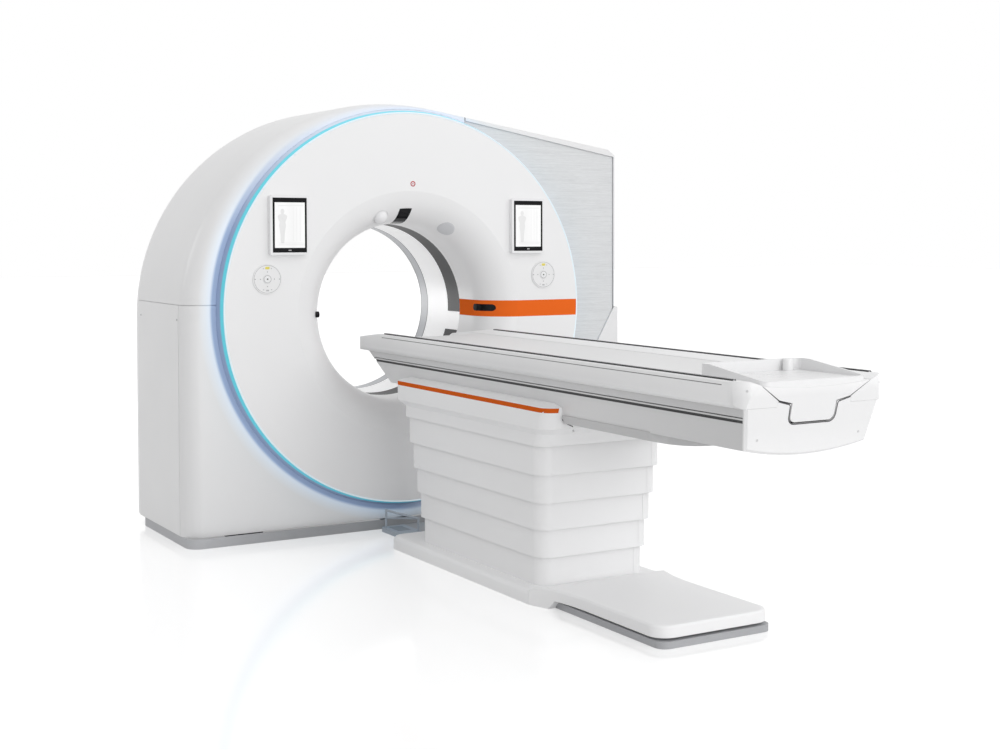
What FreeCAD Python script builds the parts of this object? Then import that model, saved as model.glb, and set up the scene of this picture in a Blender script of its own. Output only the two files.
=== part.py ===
"""Computed tomography scanner: a gantry with a turning X-ray rotor inside, and a patient table that
lifts on telescoping columns inside stepped shrouds and slides its top through the bore.

Millimetres. +Z is up, +X is to the right of someone who faces the gantry from the table, and +Y runs
along the bore from the table to the back. The origin is on the floor, under the axis of the bore."""
import FreeCAD, Part
import math
import os

V = FreeCAD.Vector

# ---------------------------------------------------------------- driving dimensions: clearances
fit_gap = 0.3            # between a piece and the seat that it slides on or drops into
seam_gap = 0.6           # between two covers
groove_width = 3.0       # shadow line cut along a seam
groove_depth = 2.5
cover_wall = 6.0         # moulded gantry covers
shroud_wall = 3.0        # table shrouds

# ---------------------------------------------------------------- driving dimensions: gantry
bore_radius = 410.0
cover_front_y = -400.0   # flat face of the round front cover
shell_front_y = -350.0   # flat front face of the outer shell
shell_back_y = 340.0
plinth_height = 42.0
plinth_inset = 4.0       # plinth inside the line of the covers

disc_radius = 892.0      # round front cover
disc_low_z = 125.0       # its lowest point
disc_rise = 22.0         # its centre is a little above the bore axis
disc_height = disc_low_z + disc_radius
bore_height = disc_height - disc_rise
disc_rim_depth = 54.0
mouth_radius = 560.0     # crease where the flared mouth leaves the flat face
mouth_depth = 180.0
mouth_steps = 8          # straight steps round the bend of the mouth
hollow_steps = 3         # the same on the hidden side
lip_depth = 132.0        # straight lip between the mouth and the scan window
window_width = 128.0     # dark ring that the beam passes through
window_wall = 4.0
tunnel_wall = 6.0

glow_front_radius = disc_radius + 7.0
glow_back_radius = disc_radius + 24.0
glow_depth = 50.0
glow_carrier_depth = 40.0
glow_edge = 2.0

arc_margin = 98.0        # shell outside the round cover, on the left
arc_shift = 65.0         # centre of the big arc, left of the bore axis
arc_drop = 27.0          # and below it
arc_radius = disc_radius + arc_margin
arc_height = bore_height - arc_drop
side_x = -arc_radius - arc_shift
roof_slope = 9.0         # degrees, falling to the right
right_margin = 268.0     # shell outside the round cover, on the right
roof_corner_run = 38.0
right_x = disc_radius + right_margin
roof_end_x = right_x - roof_corner_run
roof_corner_drop = 27.0
right_bulge = 20.0       # how far the lower right cover stands out from the side above it
corner_round = 90.0      # rounding of the front left edge
roof_round = 5.0         # rounding that is left along the roof
right_round = 8.0
round_steps = 4

side_seam_rise = 54.0    # seams, from the bore axis
right_seam_fall = 5.0
side_seam_z = bore_height + side_seam_rise
door_seam_y = -260.0
roof_seam_x = 303.0
right_seam_z = bore_height - right_seam_fall
low_seam_x = 420.0
panel_bottom_z = 345.0
panel_slant = 30.0       # degrees from upright, edge of the lower right cover
panel_recess = 28.0
panel_thickness = 8.0
strip_left = 14.0        # white strip between the roof and the textured panel
strip_right = 30.0
flange_wall = 8.0

rear_depth = 90.0
rear_round = 40.0
rear_mouth_radius = 470.0

plinth_front_y = -380.0
plinth_back_y = 330.0
plinth_wall = 10.0
plinth_corner = 60.0

frame_foot_x = 760.0     # anchor holes of the gantry frame
frame_foot_y = 250.0
frame_rail_width = 120.0
frame_rail_height = 100.0
frame_plate = 12.0
anchor_hole_radius = 9.0

stator_margin = 52.0     # inside the round cover's edge
stator_radius = disc_radius - stator_margin
stator_foot_half = stator_radius - 40.0
stator_foot_drop = 250.0 # top of the feet below the bore axis
stator_clearance = 8.0   # between the stator's disc and the base frame
stator_y = 150.0
stator_thickness = 30.0
stator_rib = 60.0
stator_hoop = 24.0
stator_hoop_depth = 40.0
rib_half = 8.0

race_margin = 96.0       # bearing outside the bore
race_pitch_radius = bore_radius + race_margin
roller_radius = 6.0
roller_count = 20
roller_slack = 0.05
race_wall = 33.0
race_length = 60.0
race_y = 140.0

rotor_margin = 60.0
rotor_radius = stator_radius - rotor_margin
rotor_inner_radius = bore_radius + 30.0
rotor_front_y = -180.0
rotor_plate_y = 100.0
rotor_plate = 25.0
rotor_rim = 14.0
magnet_thickness = 9.0
magnet_overlap = 30.0    # magnet band in front of the plate
hub_shoulder = 12.0
hub_end = 10.0
air_gap = 1.5
coil_depth = 46.0
coil_thickness = 28.0
coil_half_angle = 19.3

tube_radius = 105.0
tube_length = 290.0
saddle_depth = 60.0
limiter_gap = 22.0       # beam limiter outside the rotor's opening
focus_radius = rotor_radius - 160.0     # X-ray source above the bore axis
collimator_width = 150.0
detector_inner = bore_radius + 55.0     # detector below the bore axis
detector_depth = 78.0
detector_half_angle = 26.0
detector_width = 110.0
slip_outer = rotor_radius - 50.0
slip_inner = slip_outer - 120.0
slip_thickness = 10.0
slip_tracks = 2
slip_track_depth = 3.0
brush_block_half = 45.0
brush_half = 20.0
brush_angle = -45.0
generator_inner = rotor_inner_radius + 60.0
generator_outer = rotor_radius - 65.0
generator_half = 170.0
generator_set_back = 20.0
cooler_set_back = 60.0
cooler_inner = rotor_inner_radius + 80.0
cooler_outer = rotor_radius - 80.0
cooler_half = 105.0
cooler_angle = 42.0
fin_count = 6
fin_pitch = 36.0
fin_height = 30.0
fin_thickness = 10.0
cage_thickness = 6.0
cage_length = 52.0
roller_length = 40.0

tablet_x = 605.0
tablet_z = 1396.0
tablet_width = 180.0
tablet_height = 262.0
tablet_depth = 26.0
tablet_corner = 9.0
screen_margin = 11.0
screen_depth = 3.0

pad_x = 702.0
pad_z = 1160.0
pad_radius = 66.0
pad_depth = 5.0
button_radius = 19.0
button_travel = 1.5
pocket_floor = 2.0
button_length = 3.0
button_rise = 0.5        # how far the button stands out when it's pressed

band_low = 960.0
band_high = 1038.0
band_thickness = 2.0
slot_low = 986.0
slot_high = 1019.0
slot_front_y = -352.0
slot_back_y = -226.0
display_angle = 91.7
display_width = 62.0
display_front_y = -364.0
display_back_y = -140.0
dome_angle = 107.0
dome_y = -346.0
dome_radius = 35.0
dome_sink = 4.0          # centre of the ball behind the surface of the mouth
dome_steps = 5
knob_angle = 180.0
knob_y = -330.0
knob_radius = 14.0
knob_height = 12.0
knob_sink = 6.0
light_window_low = 884.0
light_window_high = 973.0

# ---------------------------------------------------------------- driving dimensions: table
table_foot_y = -3207.0   # foot end at the height of the top
foot_rake = 0.25         # how far the end face leans in per millimetre of fall
wing_half = 290.0
wing_top_z = 921.0
wing_inner_top_z = 906.0
wing_bottom_z = 838.0
wing_edge_round = 16.0
wing_lip = 4.0           # chamfer along the top outer edge
wing_root = 8.0          # thin inner edge of a wing, out from the top's knee
table_low_z = 700.0      # everything in the table's top is between these heights
table_high_z = 1000.0
nose_y = -410.0
nose_slope_length = 250.0
nose_drop = 28.0
nose_corner = 62.0
foot_corner = 75.0
cradle_half = 214.0
cradle_gap = 3.0
cradle_top_z = 905.0
cradle_sag = 12.0
cradle_flat_half = 86.0
cradle_bottom_z = 846.0
cradle_knee_x = 140.0
cradle_knee_z = 858.0
cradle_end_wall = 34.0
rail_width = 14.0
rail_height = 8.0
rail_inset = 11.0
rail_side_gap = 4.0      # dark channel on each side of a rail
rail_groove_half = 2.5
rail_groove_depth = 3.0
rail_front_y = -690.0
rail_back_y = table_foot_y + 70.0

tray_length = 330.0
tray_wall = 9.0
tray_height = 46.0
tray_floor = 8.0
tray_inset = 8.0
tray_knob_radius = 17.0
tray_knob_height = 42.0
tray_knob_x = 135.0
tray_knob_dome = ((1.0, 0.74), (0.85, 0.9), (0.5, 0.98), (0.0, 1.0))
tray_corner = 30.0
handle_half = 88.0
handle_bottom_z = 786.0
handle_thickness = 22.0
handle_corner = 22.0
handle_gap = 4.0

body_top_half = 266.0
body_low_half = 242.0
body_low_z = 707.0
belly_z = 680.0
body_nose_top_y = -500.0
body_nose_low_y = -680.0
body_wall = 5.0
body_opening = 30.0
groove_reach = 170.0     # how far the groove runs forward of the nose's foot
body_groove_z = 798.0
body_groove_height = 8.0
body_groove_depth = 4.2
end_panel_thickness = 14.0
end_panel_round = 8.0 
end_panel_gap = 3.0      # below the sliding top
under_front_y = -2120.0
under_drop = 26.0
pan_foot_y = -2700.0
pan_corner = 60.0
pan_lap = 4.0            # how far the pan laps the sides of the housing

collar_half = 285.0
collar_front_y = -875.0
collar_foot_y = -2024.0
collar_bottom_z = 585.0
collar_flange_half = 311.0
collar_flange_low_z = 656.0
collar_bevel = 24.0
collar_flange_high_z = 737.0
collar_top_z = 750.0
collar_flare = 72.0      # how far the flange reaches out at the foot end
collar_low_flare = 0.6   # part of that at the flange's lower edge
collar_skirt_flare = 0.35        # and at the foot of the bevel
collar_top_run = 40.0
shroud_corner = 58.0
stripe_height = 17.0
stripe_depth = 2.0
stripe_drop = 1.0        # below the flange's upper edge
stripe_front_y = -884.0
tier_count = 5
tier_step_side = 9.8
tier_step_end = 15.0
tier_bottoms = (476.0, 371.0, 268.0, 162.0, 56.0)
tier_overlap = 22.0
lip_height = 7.0
tier_seam_width = 2.0    # moulding seam down the foot face of a tier
tier_seam_depth = 1.0

lift_travel = 430.0

base_half = 293.0
base_front_y = -762.0
base_top_z = 56.0
base_wall = 4.0
base_ledge = 10.0        # ledge that the lowest shroud stands on
edge_steps = 3           # straight steps round a soft edge
base_edge_round = 20.0
base_foot_gap = 9.0      # from the lowest shroud to the step
floor_plate_half = 234.0
floor_plate_front_y = -800.0
floor_plate_foot_y = -2715.0
floor_plate_thickness = 24.0
step_half = 238.0
step_foot_y = -2708.0
step_top_z = 75.0
step_bottom_z = 33.0
step_corner = 65.0
step_edge_round = 10.0
step_pad = 20.0          # feet under the step
step_pad_x = 140.0
step_ramp_length = 75.0  # where its top rises from the base cover
step_lift_y = -2050.0    # where its underside leaves the floor
step_waist = ((-1995.0, 283.0), (-2045.0, 267.0), (-2115.0, 250.0), (-2185.0, 241.0), (-2250.0, 238.0))
column_ys = (-1200.0, -1700.0)
column_half = 120.0
column_wall = 8.0
column_tube_length = 264.0
column_top_z = 730.0
anchor_table_x = 160.0
anchor_table_y = 450.0

girder_x = 160.0
girder_width = 40.0
girder_height = 70.0
girder_wall = 6.0
girder_front_y = -720.0
girder_foot_y = table_foot_y + 70.0
guide_height = 20.0
guide_width = 16.0
sled_foot_y = table_foot_y + 110.0
sled_front_y = sled_foot_y + 300.0
sled_plate = 10.0
belt_x = 112.0
belt_width = 14.0
belt_thickness = 2.0
pulley_radius = 20.0
pulley_margin = 1.5
pulley_z = 802.0
motor_pulley_y = -850.0
idler_pulley_y = girder_foot_y + 45.0
motor_radius = 30.0
shaft_radius = 6.0
shaft_slack = 0.05

link_half = 60.0         # floor plate that ties the table to the gantry
link_thickness = 12.0
switch_width = 116.0     # foot switch on the floor in front of the gantry
switch_front_y = -612.0
switch_back_y = -425.0
switch_height = 20.0
switch_corner = 14.0
guard_radius = 5.0
guard_back_z = 102.0
guard_front_z = 80.0
guard_low_z = 62.0
guard_edge = 18.0        # from the plate's edge to the middle of a post
tread_width = 62.0
tread_length = 96.0
tread_thickness = 9.0
tread_recess = 12.0
tread_rise = 3.0
pin_radius = 3.0

# ---------------------------------------------------------------- shape helpers


def box(x0, x1, y0, y1, z0, z1):
    return Part.makeBox(x1 - x0, y1 - y0, z1 - z0, V(x0, y0, z0))


def cylinder_y(radius, y0, y1, x=0.0, z=bore_height):
    return Part.makeCylinder(radius, y1 - y0, V(x, y0, z), V(0, 1, 0))


def cylinder_z(radius, z0, z1, x, y):
    return Part.makeCylinder(radius, z1 - z0, V(x, y, z0), V(0, 0, 1))


def cylinder_x(radius, x0, x1, y, z):
    return Part.makeCylinder(radius, x1 - x0, V(x0, y, z), V(1, 0, 0))


def ring_y(inner, outer, y0, y1, z=bore_height):
    return cylinder_y(outer, y0, y1, 0.0, z).cut(cylinder_y(inner, y0 - 1, y1 + 1, 0.0, z))


def closed_face(points):
    return Part.Face(Part.makePolygon(points + points[:1]))


def prism_y(section, y0, y1):
    """Extrudes (x, z) points along Y."""
    return closed_face([V(x, y0, z) for x, z in section]).extrude(V(0, y1 - y0, 0))


def prism_x(section, x0, x1):
    """Extrudes (y, z) points along X."""
    return closed_face([V(x0, y, z) for y, z in section]).extrude(V(x1 - x0, 0, 0))


def line(a, b):
    return Part.LineSegment(a, b).toShape()


def arc(a, b, c):
    return Part.Arc(a, b, c).toShape()


def turned_points(points, z=bore_height):
    """Turns a closed profile, drawn in the plane of the bore axis, round that axis."""
    return closed_face(points).revolve(V(0, 0, z), V(0, 1, 0), 360)


def turned_profile(pairs, z=bore_height):
    """The same, from (radius, y) pairs."""
    return turned_points([V(radius, y, z) for radius, y in pairs], z)


def upright_edges(shape, test=lambda p: True):
    found = []
    for edge in shape.Edges:
        direction = edge.tangentAt(edge.FirstParameter)
        if abs(direction.z) > 0.999 and test(edge.CenterOfMass):
            found.append(edge)
    return found


def slab(half, y_foot, y_front, z0, z1, corner):
    """An upright block, even about X = 0, with rounded upright edges."""
    block = box(-half, half, y_foot, y_front, z0, z1)
    return block.makeFillet(corner, upright_edges(block))


def mirrored(shape):
    return shape.mirror(V(0, 0, 0), V(1, 0, 0))


def turned_about_bore(shape, degrees):
    copy = shape.copy()
    copy.rotate(V(0, 0, bore_height), V(0, -1, 0), degrees)
    return copy


def bore_point(radius, degrees, y):
    turn = math.radians(degrees)
    return V(radius * math.cos(turn), y, bore_height + radius * math.sin(turn))


# ---------------------------------------------------------------- gantry shell

slope = math.radians(roof_slope)
lean = math.radians(panel_slant)
arc_x = side_x + arc_radius
front_shift = (corner_round - roof_round) / (1 + math.sin(slope))
throat_y = cover_front_y + mouth_depth + lip_depth
window_back_y = throat_y + window_width
glow_back_y = cover_front_y + glow_depth


def outline_edges(y, share, inset, side, bottom):
    """The gantry's outline at one depth. share is 0 at the front face and 1 where the sides are full."""
    short = 1.0 - share
    centre_x = arc_x + short * front_shift
    radius = arc_radius - short * (front_shift * math.sin(slope) + roof_round) - inset
    left = centre_x - radius
    half_turn = math.radians(180 + 90 - roof_slope) / 2
    middle = V(centre_x + radius * math.cos(half_turn), y, arc_height + radius * math.sin(half_turn))
    start_x = centre_x + radius * math.sin(slope)
    start_z = arc_height + radius * math.cos(slope)
    end_x = roof_end_x - short * right_round - inset
    end_z = start_z - (end_x - start_x) * math.tan(slope)
    side_full = side - short * right_round - inset
    corner_z = end_z - roof_corner_drop
    low_left = V(left, y, bottom)
    spring = V(left, y, arc_height)
    roof_start = V(start_x, y, start_z)
    roof_end = V(end_x, y, end_z)
    corner = V(side_full, y, corner_z)
    low_right = V(side_full, y, bottom)
    return [line(low_left, spring), arc(spring, middle, roof_start), line(roof_start, roof_end),
            line(roof_end, corner), line(corner, low_right), line(low_right, low_left)]


def gantry_mass(inset, side, bottom, back_y):
    """The outline run from front to back, with the front edge rounded in a few steps."""
    wires = []
    for step in range(round_steps + 1):
        turn = math.radians(90.0 * step / round_steps)
        y = shell_front_y + inset + (1 - math.cos(turn)) * corner_round
        wires.append(Part.Wire(outline_edges(y, math.sin(turn), inset, side, bottom)))
    wires.append(Part.Wire(outline_edges(back_y, 1.0, inset, side, bottom)))
    return Part.makeLoft(wires, True, True)


def gantry_shell(side):
    outer = gantry_mass(0.0, side, shell_bottom_z, shell_back_y)
    inner = gantry_mass(cover_wall, side, shell_bottom_z - 20, shell_back_y + 20)
    skin = gantry_mass(groove_depth, side, shell_bottom_z - 40, shell_back_y + 40)
    around = gantry_mass(-groove_depth, side, shell_bottom_z - 30, shell_back_y + 30)
    opening = cylinder_y(glow_back_radius + fit_gap, shell_front_y - 50, shell_front_y + 60, 0, disc_height)
    return outer.cut(inner).cut(opening), around.cut(skin)


shell_bottom_z = plinth_height + fit_gap
half_seam = seam_gap / 2
half_groove = groove_width / 2
far = 3000.0
shell, shell_skin = gantry_shell(right_x)
low_shell = gantry_shell(right_x + right_bulge)[0]


def roof_line(x, drop):
    """Height of the roof's front edge, less a drop."""
    radius = arc_radius - front_shift * math.sin(slope) - roof_round
    start_x = arc_x + front_shift + radius * math.sin(slope)
    return arc_height + radius * math.cos(slope) - (x - start_x) * math.tan(slope) - drop


panel_right_x = right_x - right_round - cover_wall
slant_top_x = right_x - 10


def slant_x(z):
    """Slanted edge between the textured panel and the lower right cover."""
    return slant_top_x - (right_seam_z - z) * math.tan(lean)


def panel_outline(gap):
    """(x, z) corners of the opening for the textured panel, drawn in by a gap."""
    low_z = panel_bottom_z + gap
    side = panel_right_x - gap
    shift = gap / math.cos(lean)
    slant_z = right_seam_z - (slant_top_x - side - shift) / math.tan(lean)
    return [(roof_seam_x + gap, roof_line(roof_seam_x, strip_left + gap)),
            (side, roof_line(panel_right_x, strip_right + gap)), (side, slant_z),
            (slant_x(low_z) - shift, low_z), (roof_seam_x + gap, low_z)]


def lower_right_region(gap):
    """Right of the slanted edge and below the textured panel."""
    top_z = right_seam_z - gap
    low_z = panel_bottom_z - gap
    return prism_y([(slant_x(top_z) + gap, top_z), (far, top_z), (far, -50), (low_seam_x + gap, -50),
                    (low_seam_x + gap, low_z), (slant_x(low_z) + gap, low_z)], -far, far)


def seam_band(x0, x1, y0, y1, z0, z1, skin):
    return skin.common(box(x0, x1, y0, y1, z0, z1))


side_seam = seam_band(-far, -500, -far, far, side_seam_z - half_groove, side_seam_z + half_groove, shell_skin)
door_seam = seam_band(-far, -500, door_seam_y - half_groove, door_seam_y + half_groove, -50,
                      side_seam_z, shell_skin)
roof_seam = seam_band(roof_seam_x - half_groove, roof_seam_x + half_groove, -far, far, 1500, far, shell_skin)
right_seam = seam_band(900, far, -far, far, right_seam_z - half_groove, right_seam_z + half_groove, shell_skin)


def upper_cover():
    region = box(-far, roof_seam_x - half_seam, -far, far, side_seam_z + half_seam, far)
    return shell.common(region).cut(side_seam).cut(roof_seam)


def left_side_door():
    region = box(-far, 0, door_seam_y + half_seam, far, -50, side_seam_z - half_seam)
    return shell.common(region).cut(side_seam).cut(door_seam)


def front_corner_cover():
    region = box(-far, low_seam_x - half_seam, -far, door_seam_y - half_seam, -50, side_seam_z - half_seam)
    return shell.common(region).cut(side_seam).cut(door_seam)


def right_upper_cover():
    region = box(roof_seam_x + half_seam, far, -far, far, right_seam_z + half_seam, far)
    window = prism_y(panel_outline(0.0), shell_front_y - 50, shell_front_y + 60)
    left_z = roof_line(roof_seam_x, strip_left)
    right_z = roof_line(panel_right_x, strip_right)
    start_x = roof_seam_x + half_seam
    return_flange = prism_y([(start_x, left_z), (panel_right_x + 2, right_z),
                             (panel_right_x + 2, right_z + flange_wall), (start_x, left_z + flange_wall)],
                            shell_front_y, shell_front_y + panel_recess + panel_thickness + 4)
    opening = cylinder_y(glow_back_radius + fit_gap, -far, far, 0, disc_height)
    flange = return_flange.cut(opening).common(gantry_mass(0.0, right_x, shell_bottom_z, shell_back_y))
    return shell.common(region).cut(window).fuse(flange).cut(roof_seam).cut(right_seam).removeSplitter()


def right_lower_cover():
    region = lower_right_region(half_seam)
    depth = shell_front_y + panel_recess + panel_thickness + 4
    top_z = right_seam_z - 12
    run = math.tan(lean) * (top_z - panel_bottom_z)
    edge_x = slant_x(panel_bottom_z) + half_seam
    foot_x = math.sqrt((glow_back_radius + fit_gap) ** 2 - (disc_height - panel_bottom_z) ** 2)
    slanted = prism_y([(edge_x, panel_bottom_z - half_seam), (edge_x + run, top_z),
                       (edge_x + run + flange_wall, top_z),
                       (edge_x + flange_wall, panel_bottom_z - flange_wall)], shell_front_y, depth)
    flat = box(foot_x + 12, edge_x + flange_wall, shell_front_y, depth,
               panel_bottom_z - flange_wall, panel_bottom_z - half_seam)
    return low_shell.common(region).fuse([slanted, flat]).cut(right_seam).removeSplitter()


def fabric_panel():
    front = shell_front_y + panel_recess
    plate = prism_y(panel_outline(fit_gap), front, front + panel_thickness)
    return plate.cut(cylinder_y(glow_back_radius + fit_gap, -far, far, 0, disc_height))


def rear_outline(y, inset):
    return Part.Wire(outline_edges(y, 1.0, inset, right_x, shell_bottom_z + inset))


def rear_cover():
    start = shell_back_y + seam_gap / 2
    outer_steps = []
    inner_steps = []
    for step in range(round_steps):
        turn = math.radians(90.0 * step / (round_steps - 1))
        rise = math.sin(turn) * rear_depth
        fall = (1 - math.cos(turn)) * rear_round
        outer_steps.append(rear_outline(start + rise, fall))
        inner_steps.append(rear_outline(start + rise - cover_wall, fall + cover_wall))
    pan = Part.makeLoft(outer_steps, True, True).cut(Part.makeLoft(inner_steps, True, True))
    back = start + rear_depth
    hole = bore_radius + tunnel_wall + fit_gap
    flare = turned_profile([(hole, start), (rear_mouth_radius, back), (rear_mouth_radius, back - cover_wall),
                            (hole, start - cover_wall)])
    opened = pan.cut(cylinder_y(rear_mouth_radius, start - 50, back + 50))
    return opened.fuse(flare).removeSplitter()


# ---------------------------------------------------------------- round front cover and bore

mouth_bend = ((mouth_radius - bore_radius) ** 2 + mouth_depth ** 2) / (2 * (mouth_radius - bore_radius))
mouth_ahead = 100.0


def mouth_curve(shift, steps):
    """Points round the bend of the mouth, from the crease to the lip, moved back and outward."""
    round_r = mouth_bend - shift
    first = math.asin((mouth_depth - shift) / round_r)
    points = []
    for step in range(steps + 1):
        turn = first * (1 - step / steps)
        points.append(V(bore_radius + mouth_bend - round_r * math.cos(turn),
                        cover_front_y + mouth_depth - round_r * math.sin(turn), bore_height))
    return points


def bore_space(shift, steps):
    """The space inside the mouth and lip, out in front of the face too."""
    ahead = cover_front_y - mouth_ahead
    curve = mouth_curve(shift, steps)
    points = [V(0, ahead, bore_height), V(curve[0].x, ahead, bore_height)] + curve
    points += [V(bore_radius + shift, throat_y, bore_height), V(0, throat_y, bore_height)]
    return turned_points(points)


def cover_plug(shift, steps):
    """Everything behind the front cover's visible face, from a given depth below that face."""
    body = cylinder_y(disc_radius, cover_front_y + shift, throat_y, 0, disc_height)
    return body.cut(bore_space(shift, steps))


def band_box():
    return box(0, disc_radius + 10, cover_front_y - 50, throat_y + 50, band_low, band_high)


def rounded_slot(x0, x1, y0, y1, z0, z1):
    """A box whose edges across Z are round, for the long oval window."""
    block = box(x0, x1, y0, y1, z0, z1)
    rounding = (z1 - z0) / 2 - 0.5
    edges = [e for e in block.Edges if abs(e.tangentAt(e.FirstParameter).x) > 0.999]
    return block.makeFillet(rounding, edges)


slot_tool = rounded_slot(bore_radius - 5, bore_radius + 110, slot_front_y, slot_back_y, slot_low, slot_high)
display_box = box(bore_radius - 30, mouth_radius + 30, display_front_y, display_back_y,
                  bore_height - display_width / 2, bore_height + display_width / 2)
display_tool = turned_about_bore(display_box, display_angle)

plug = cover_plug(0.0, mouth_steps)
face_layer = plug.cut(cover_plug(band_thickness, mouth_steps))
cover_hollow = cylinder_y(disc_radius - cover_wall, cover_front_y + cover_wall, throat_y + 1, 0, disc_height)
cover_body = plug.cut(cover_hollow.cut(bore_space(cover_wall, hollow_steps)))
cover_body = cover_body.cut(ring_y(disc_radius - cover_wall - 1, disc_radius + 50,
                                   cover_front_y + disc_rim_depth, throat_y + 1, disc_height))
orange_band = face_layer.common(band_box()).cut(slot_tool)
slot_glass = cover_body.common(slot_tool)
display_glass = cover_body.common(display_tool)
front_cover = cover_body.cut(orange_band).cut(slot_tool).cut(display_tool)


def laser_dome():
    """White ball in a seat, square to the surface of the mouth."""
    behind = cover_front_y + mouth_depth - dome_y
    turn = math.asin(behind / mouth_bend)
    radial = V(math.cos(math.radians(dome_angle)), 0, math.sin(math.radians(dome_angle)))
    outward = V(0, -math.sin(turn), 0) - radial * math.cos(turn)
    profile = [V(0, 0, dome_radius)]
    for step in range(1, dome_steps + 1):
        fall = math.pi / 2 * step / dome_steps
        profile.append(V(dome_radius * math.sin(fall), 0, dome_radius * math.cos(fall)))
    profile += [V(dome_radius, 0, -dome_radius), V(0, 0, -dome_radius)]
    ball = closed_face(profile).revolve(V(0, 0, 0), V(0, 0, 1), 360)
    seat = bore_point(mouth_profile(dome_y), dome_angle, dome_y) - outward * dome_sink
    ball.Placement = FreeCAD.Placement(seat, FreeCAD.Rotation(V(0, 0, 1), outward))
    return ball.cut(plug)


def mouth_profile(y):
    """Radius of the visible mouth at a depth."""
    behind = y - cover_front_y - mouth_depth
    return bore_radius + mouth_bend - math.sqrt(mouth_bend ** 2 - behind ** 2)


def side_knob():
    start = bore_point(mouth_profile(knob_y) + knob_sink, knob_angle, knob_y)
    stem = Part.makeCylinder(knob_radius, knob_height + knob_sink, start, V(1, 0, 0))
    return stem.cut(plug)


def window_piece(low, high):
    """Sector of the ring at the scan plane, between two heights on the right-hand side."""
    ring = ring_y(bore_radius, bore_radius + window_wall, throat_y, window_back_y)
    return ring.common(box(0, bore_radius + 50, throat_y - 1, window_back_y + 1, low, high))


def scan_window_ring():
    ring = ring_y(bore_radius, bore_radius + window_wall, throat_y, window_back_y)
    return ring.cut(box(0, bore_radius + 50, throat_y - 1, window_back_y + 1,
                        light_window_low, light_window_high))


def bore_tunnel():
    tube = ring_y(bore_radius, bore_radius + tunnel_wall, window_back_y, shell_back_y)
    return tube.fuse(window_piece(light_window_low, light_window_high)).removeSplitter()


def light_ring():
    inner = disc_radius + fit_gap
    carrier_back = glow_back_y + glow_carrier_depth
    return turned_profile([(inner, cover_front_y), (glow_front_radius - glow_edge, cover_front_y - glow_edge),
                           (glow_front_radius, cover_front_y), (glow_back_radius, glow_back_y),
                           (glow_back_radius, carrier_back), (inner, carrier_back)], disc_height)


# ---------------------------------------------------------------- screens and controls


def tablet_case(x):
    half = tablet_width / 2
    back = cover_front_y
    block = box(x - half, x + half, back - tablet_depth, back,
                tablet_z - tablet_height / 2, tablet_z + tablet_height / 2)
    edges = [e for e in block.Edges if abs(e.tangentAt(e.FirstParameter).y) > 0.999]
    rounded = block.makeFillet(tablet_corner, edges)
    return rounded.cut(tablet_glass_tool(x, 0.0))


def tablet_glass_tool(x, gap):
    half = tablet_width / 2 - screen_margin - gap
    tall = tablet_height / 2 - screen_margin - gap
    front = cover_front_y - tablet_depth
    return box(x - half, x + half, front, front + screen_depth, tablet_z - tall, tablet_z + tall)


def control_pad(x):
    disc = cylinder_y(pad_radius, cover_front_y - pad_depth, cover_front_y, x, pad_z)
    pocket = cylinder_y(button_radius + fit_gap, cover_front_y - pad_depth - 1, cover_front_y - pocket_floor,
                        x, pad_z)
    return disc.cut(pocket)


def pad_button(x):
    front = cover_front_y - pad_depth - button_travel - button_rise
    return cylinder_y(button_radius, front, front + button_length, x, pad_z)


# ---------------------------------------------------------------- gantry inside


def gantry_plinth():
    left = side_x + plinth_inset
    right = right_x + right_bulge - plinth_inset
    outer = box(left, right, plinth_front_y, plinth_back_y, 0, plinth_height)
    outer = outer.makeFillet(plinth_corner, upright_edges(outer))
    inner = box(left + plinth_wall, right - plinth_wall, plinth_front_y + plinth_wall,
                plinth_back_y - plinth_wall, -1, plinth_height + 1)
    inner = inner.makeFillet(plinth_corner - plinth_wall, upright_edges(inner))
    passage = box(-link_half - fit_gap, link_half + fit_gap, plinth_front_y - 1, 0, -1,
                  link_thickness + fit_gap)
    return outer.cut(inner).cut(passage)


def gantry_base_frame():
    """Two rails along the bore, two cross beams, a floor plate under the bore, and cover brackets."""
    half = frame_rail_width / 2
    parts = [box(-frame_foot_x - half, frame_foot_x + half, -half, half, 0, frame_plate)]
    for side in (-1, 1):
        x = side * frame_foot_x
        rail = box(x - half, x + half, plinth_front_y + 60, plinth_back_y - 20, 0, frame_rail_height)
        core = box(x - half + frame_plate, x + half - frame_plate, plinth_front_y, plinth_back_y,
                   frame_plate, frame_rail_height - frame_plate)
        parts.append(rail.cut(core))
    for y in (-frame_foot_y + 100, stator_y + stator_thickness / 2):
        parts.append(box(-frame_foot_x - half, frame_foot_x + half, y - 40, y + 40,
                         frame_plate, frame_rail_height))
    skirt = plinth_inset + plinth_wall + fit_gap
    for x0, x1 in ((side_x + skirt, -frame_foot_x), (frame_foot_x, right_x + right_bulge - skirt)):
        parts.append(box(x0, x1, -half, half, 0, frame_plate))
    frame = parts[0].fuse(parts[1:]).removeSplitter()
    reach = 3 * anchor_hole_radius
    for x in (-frame_foot_x, frame_foot_x):
        for y in (-frame_foot_y, frame_foot_y):
            frame = frame.cut(cylinder_z(anchor_hole_radius, -1, frame_plate + 1, x, y))
            frame = frame.cut(box(x - reach, x + reach, y - reach, y + reach,
                                  frame_rail_height - frame_plate - 1, frame_rail_height + 1))
    return frame.cut(cylinder_y(stator_radius + stator_clearance, -far, far))


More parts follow.
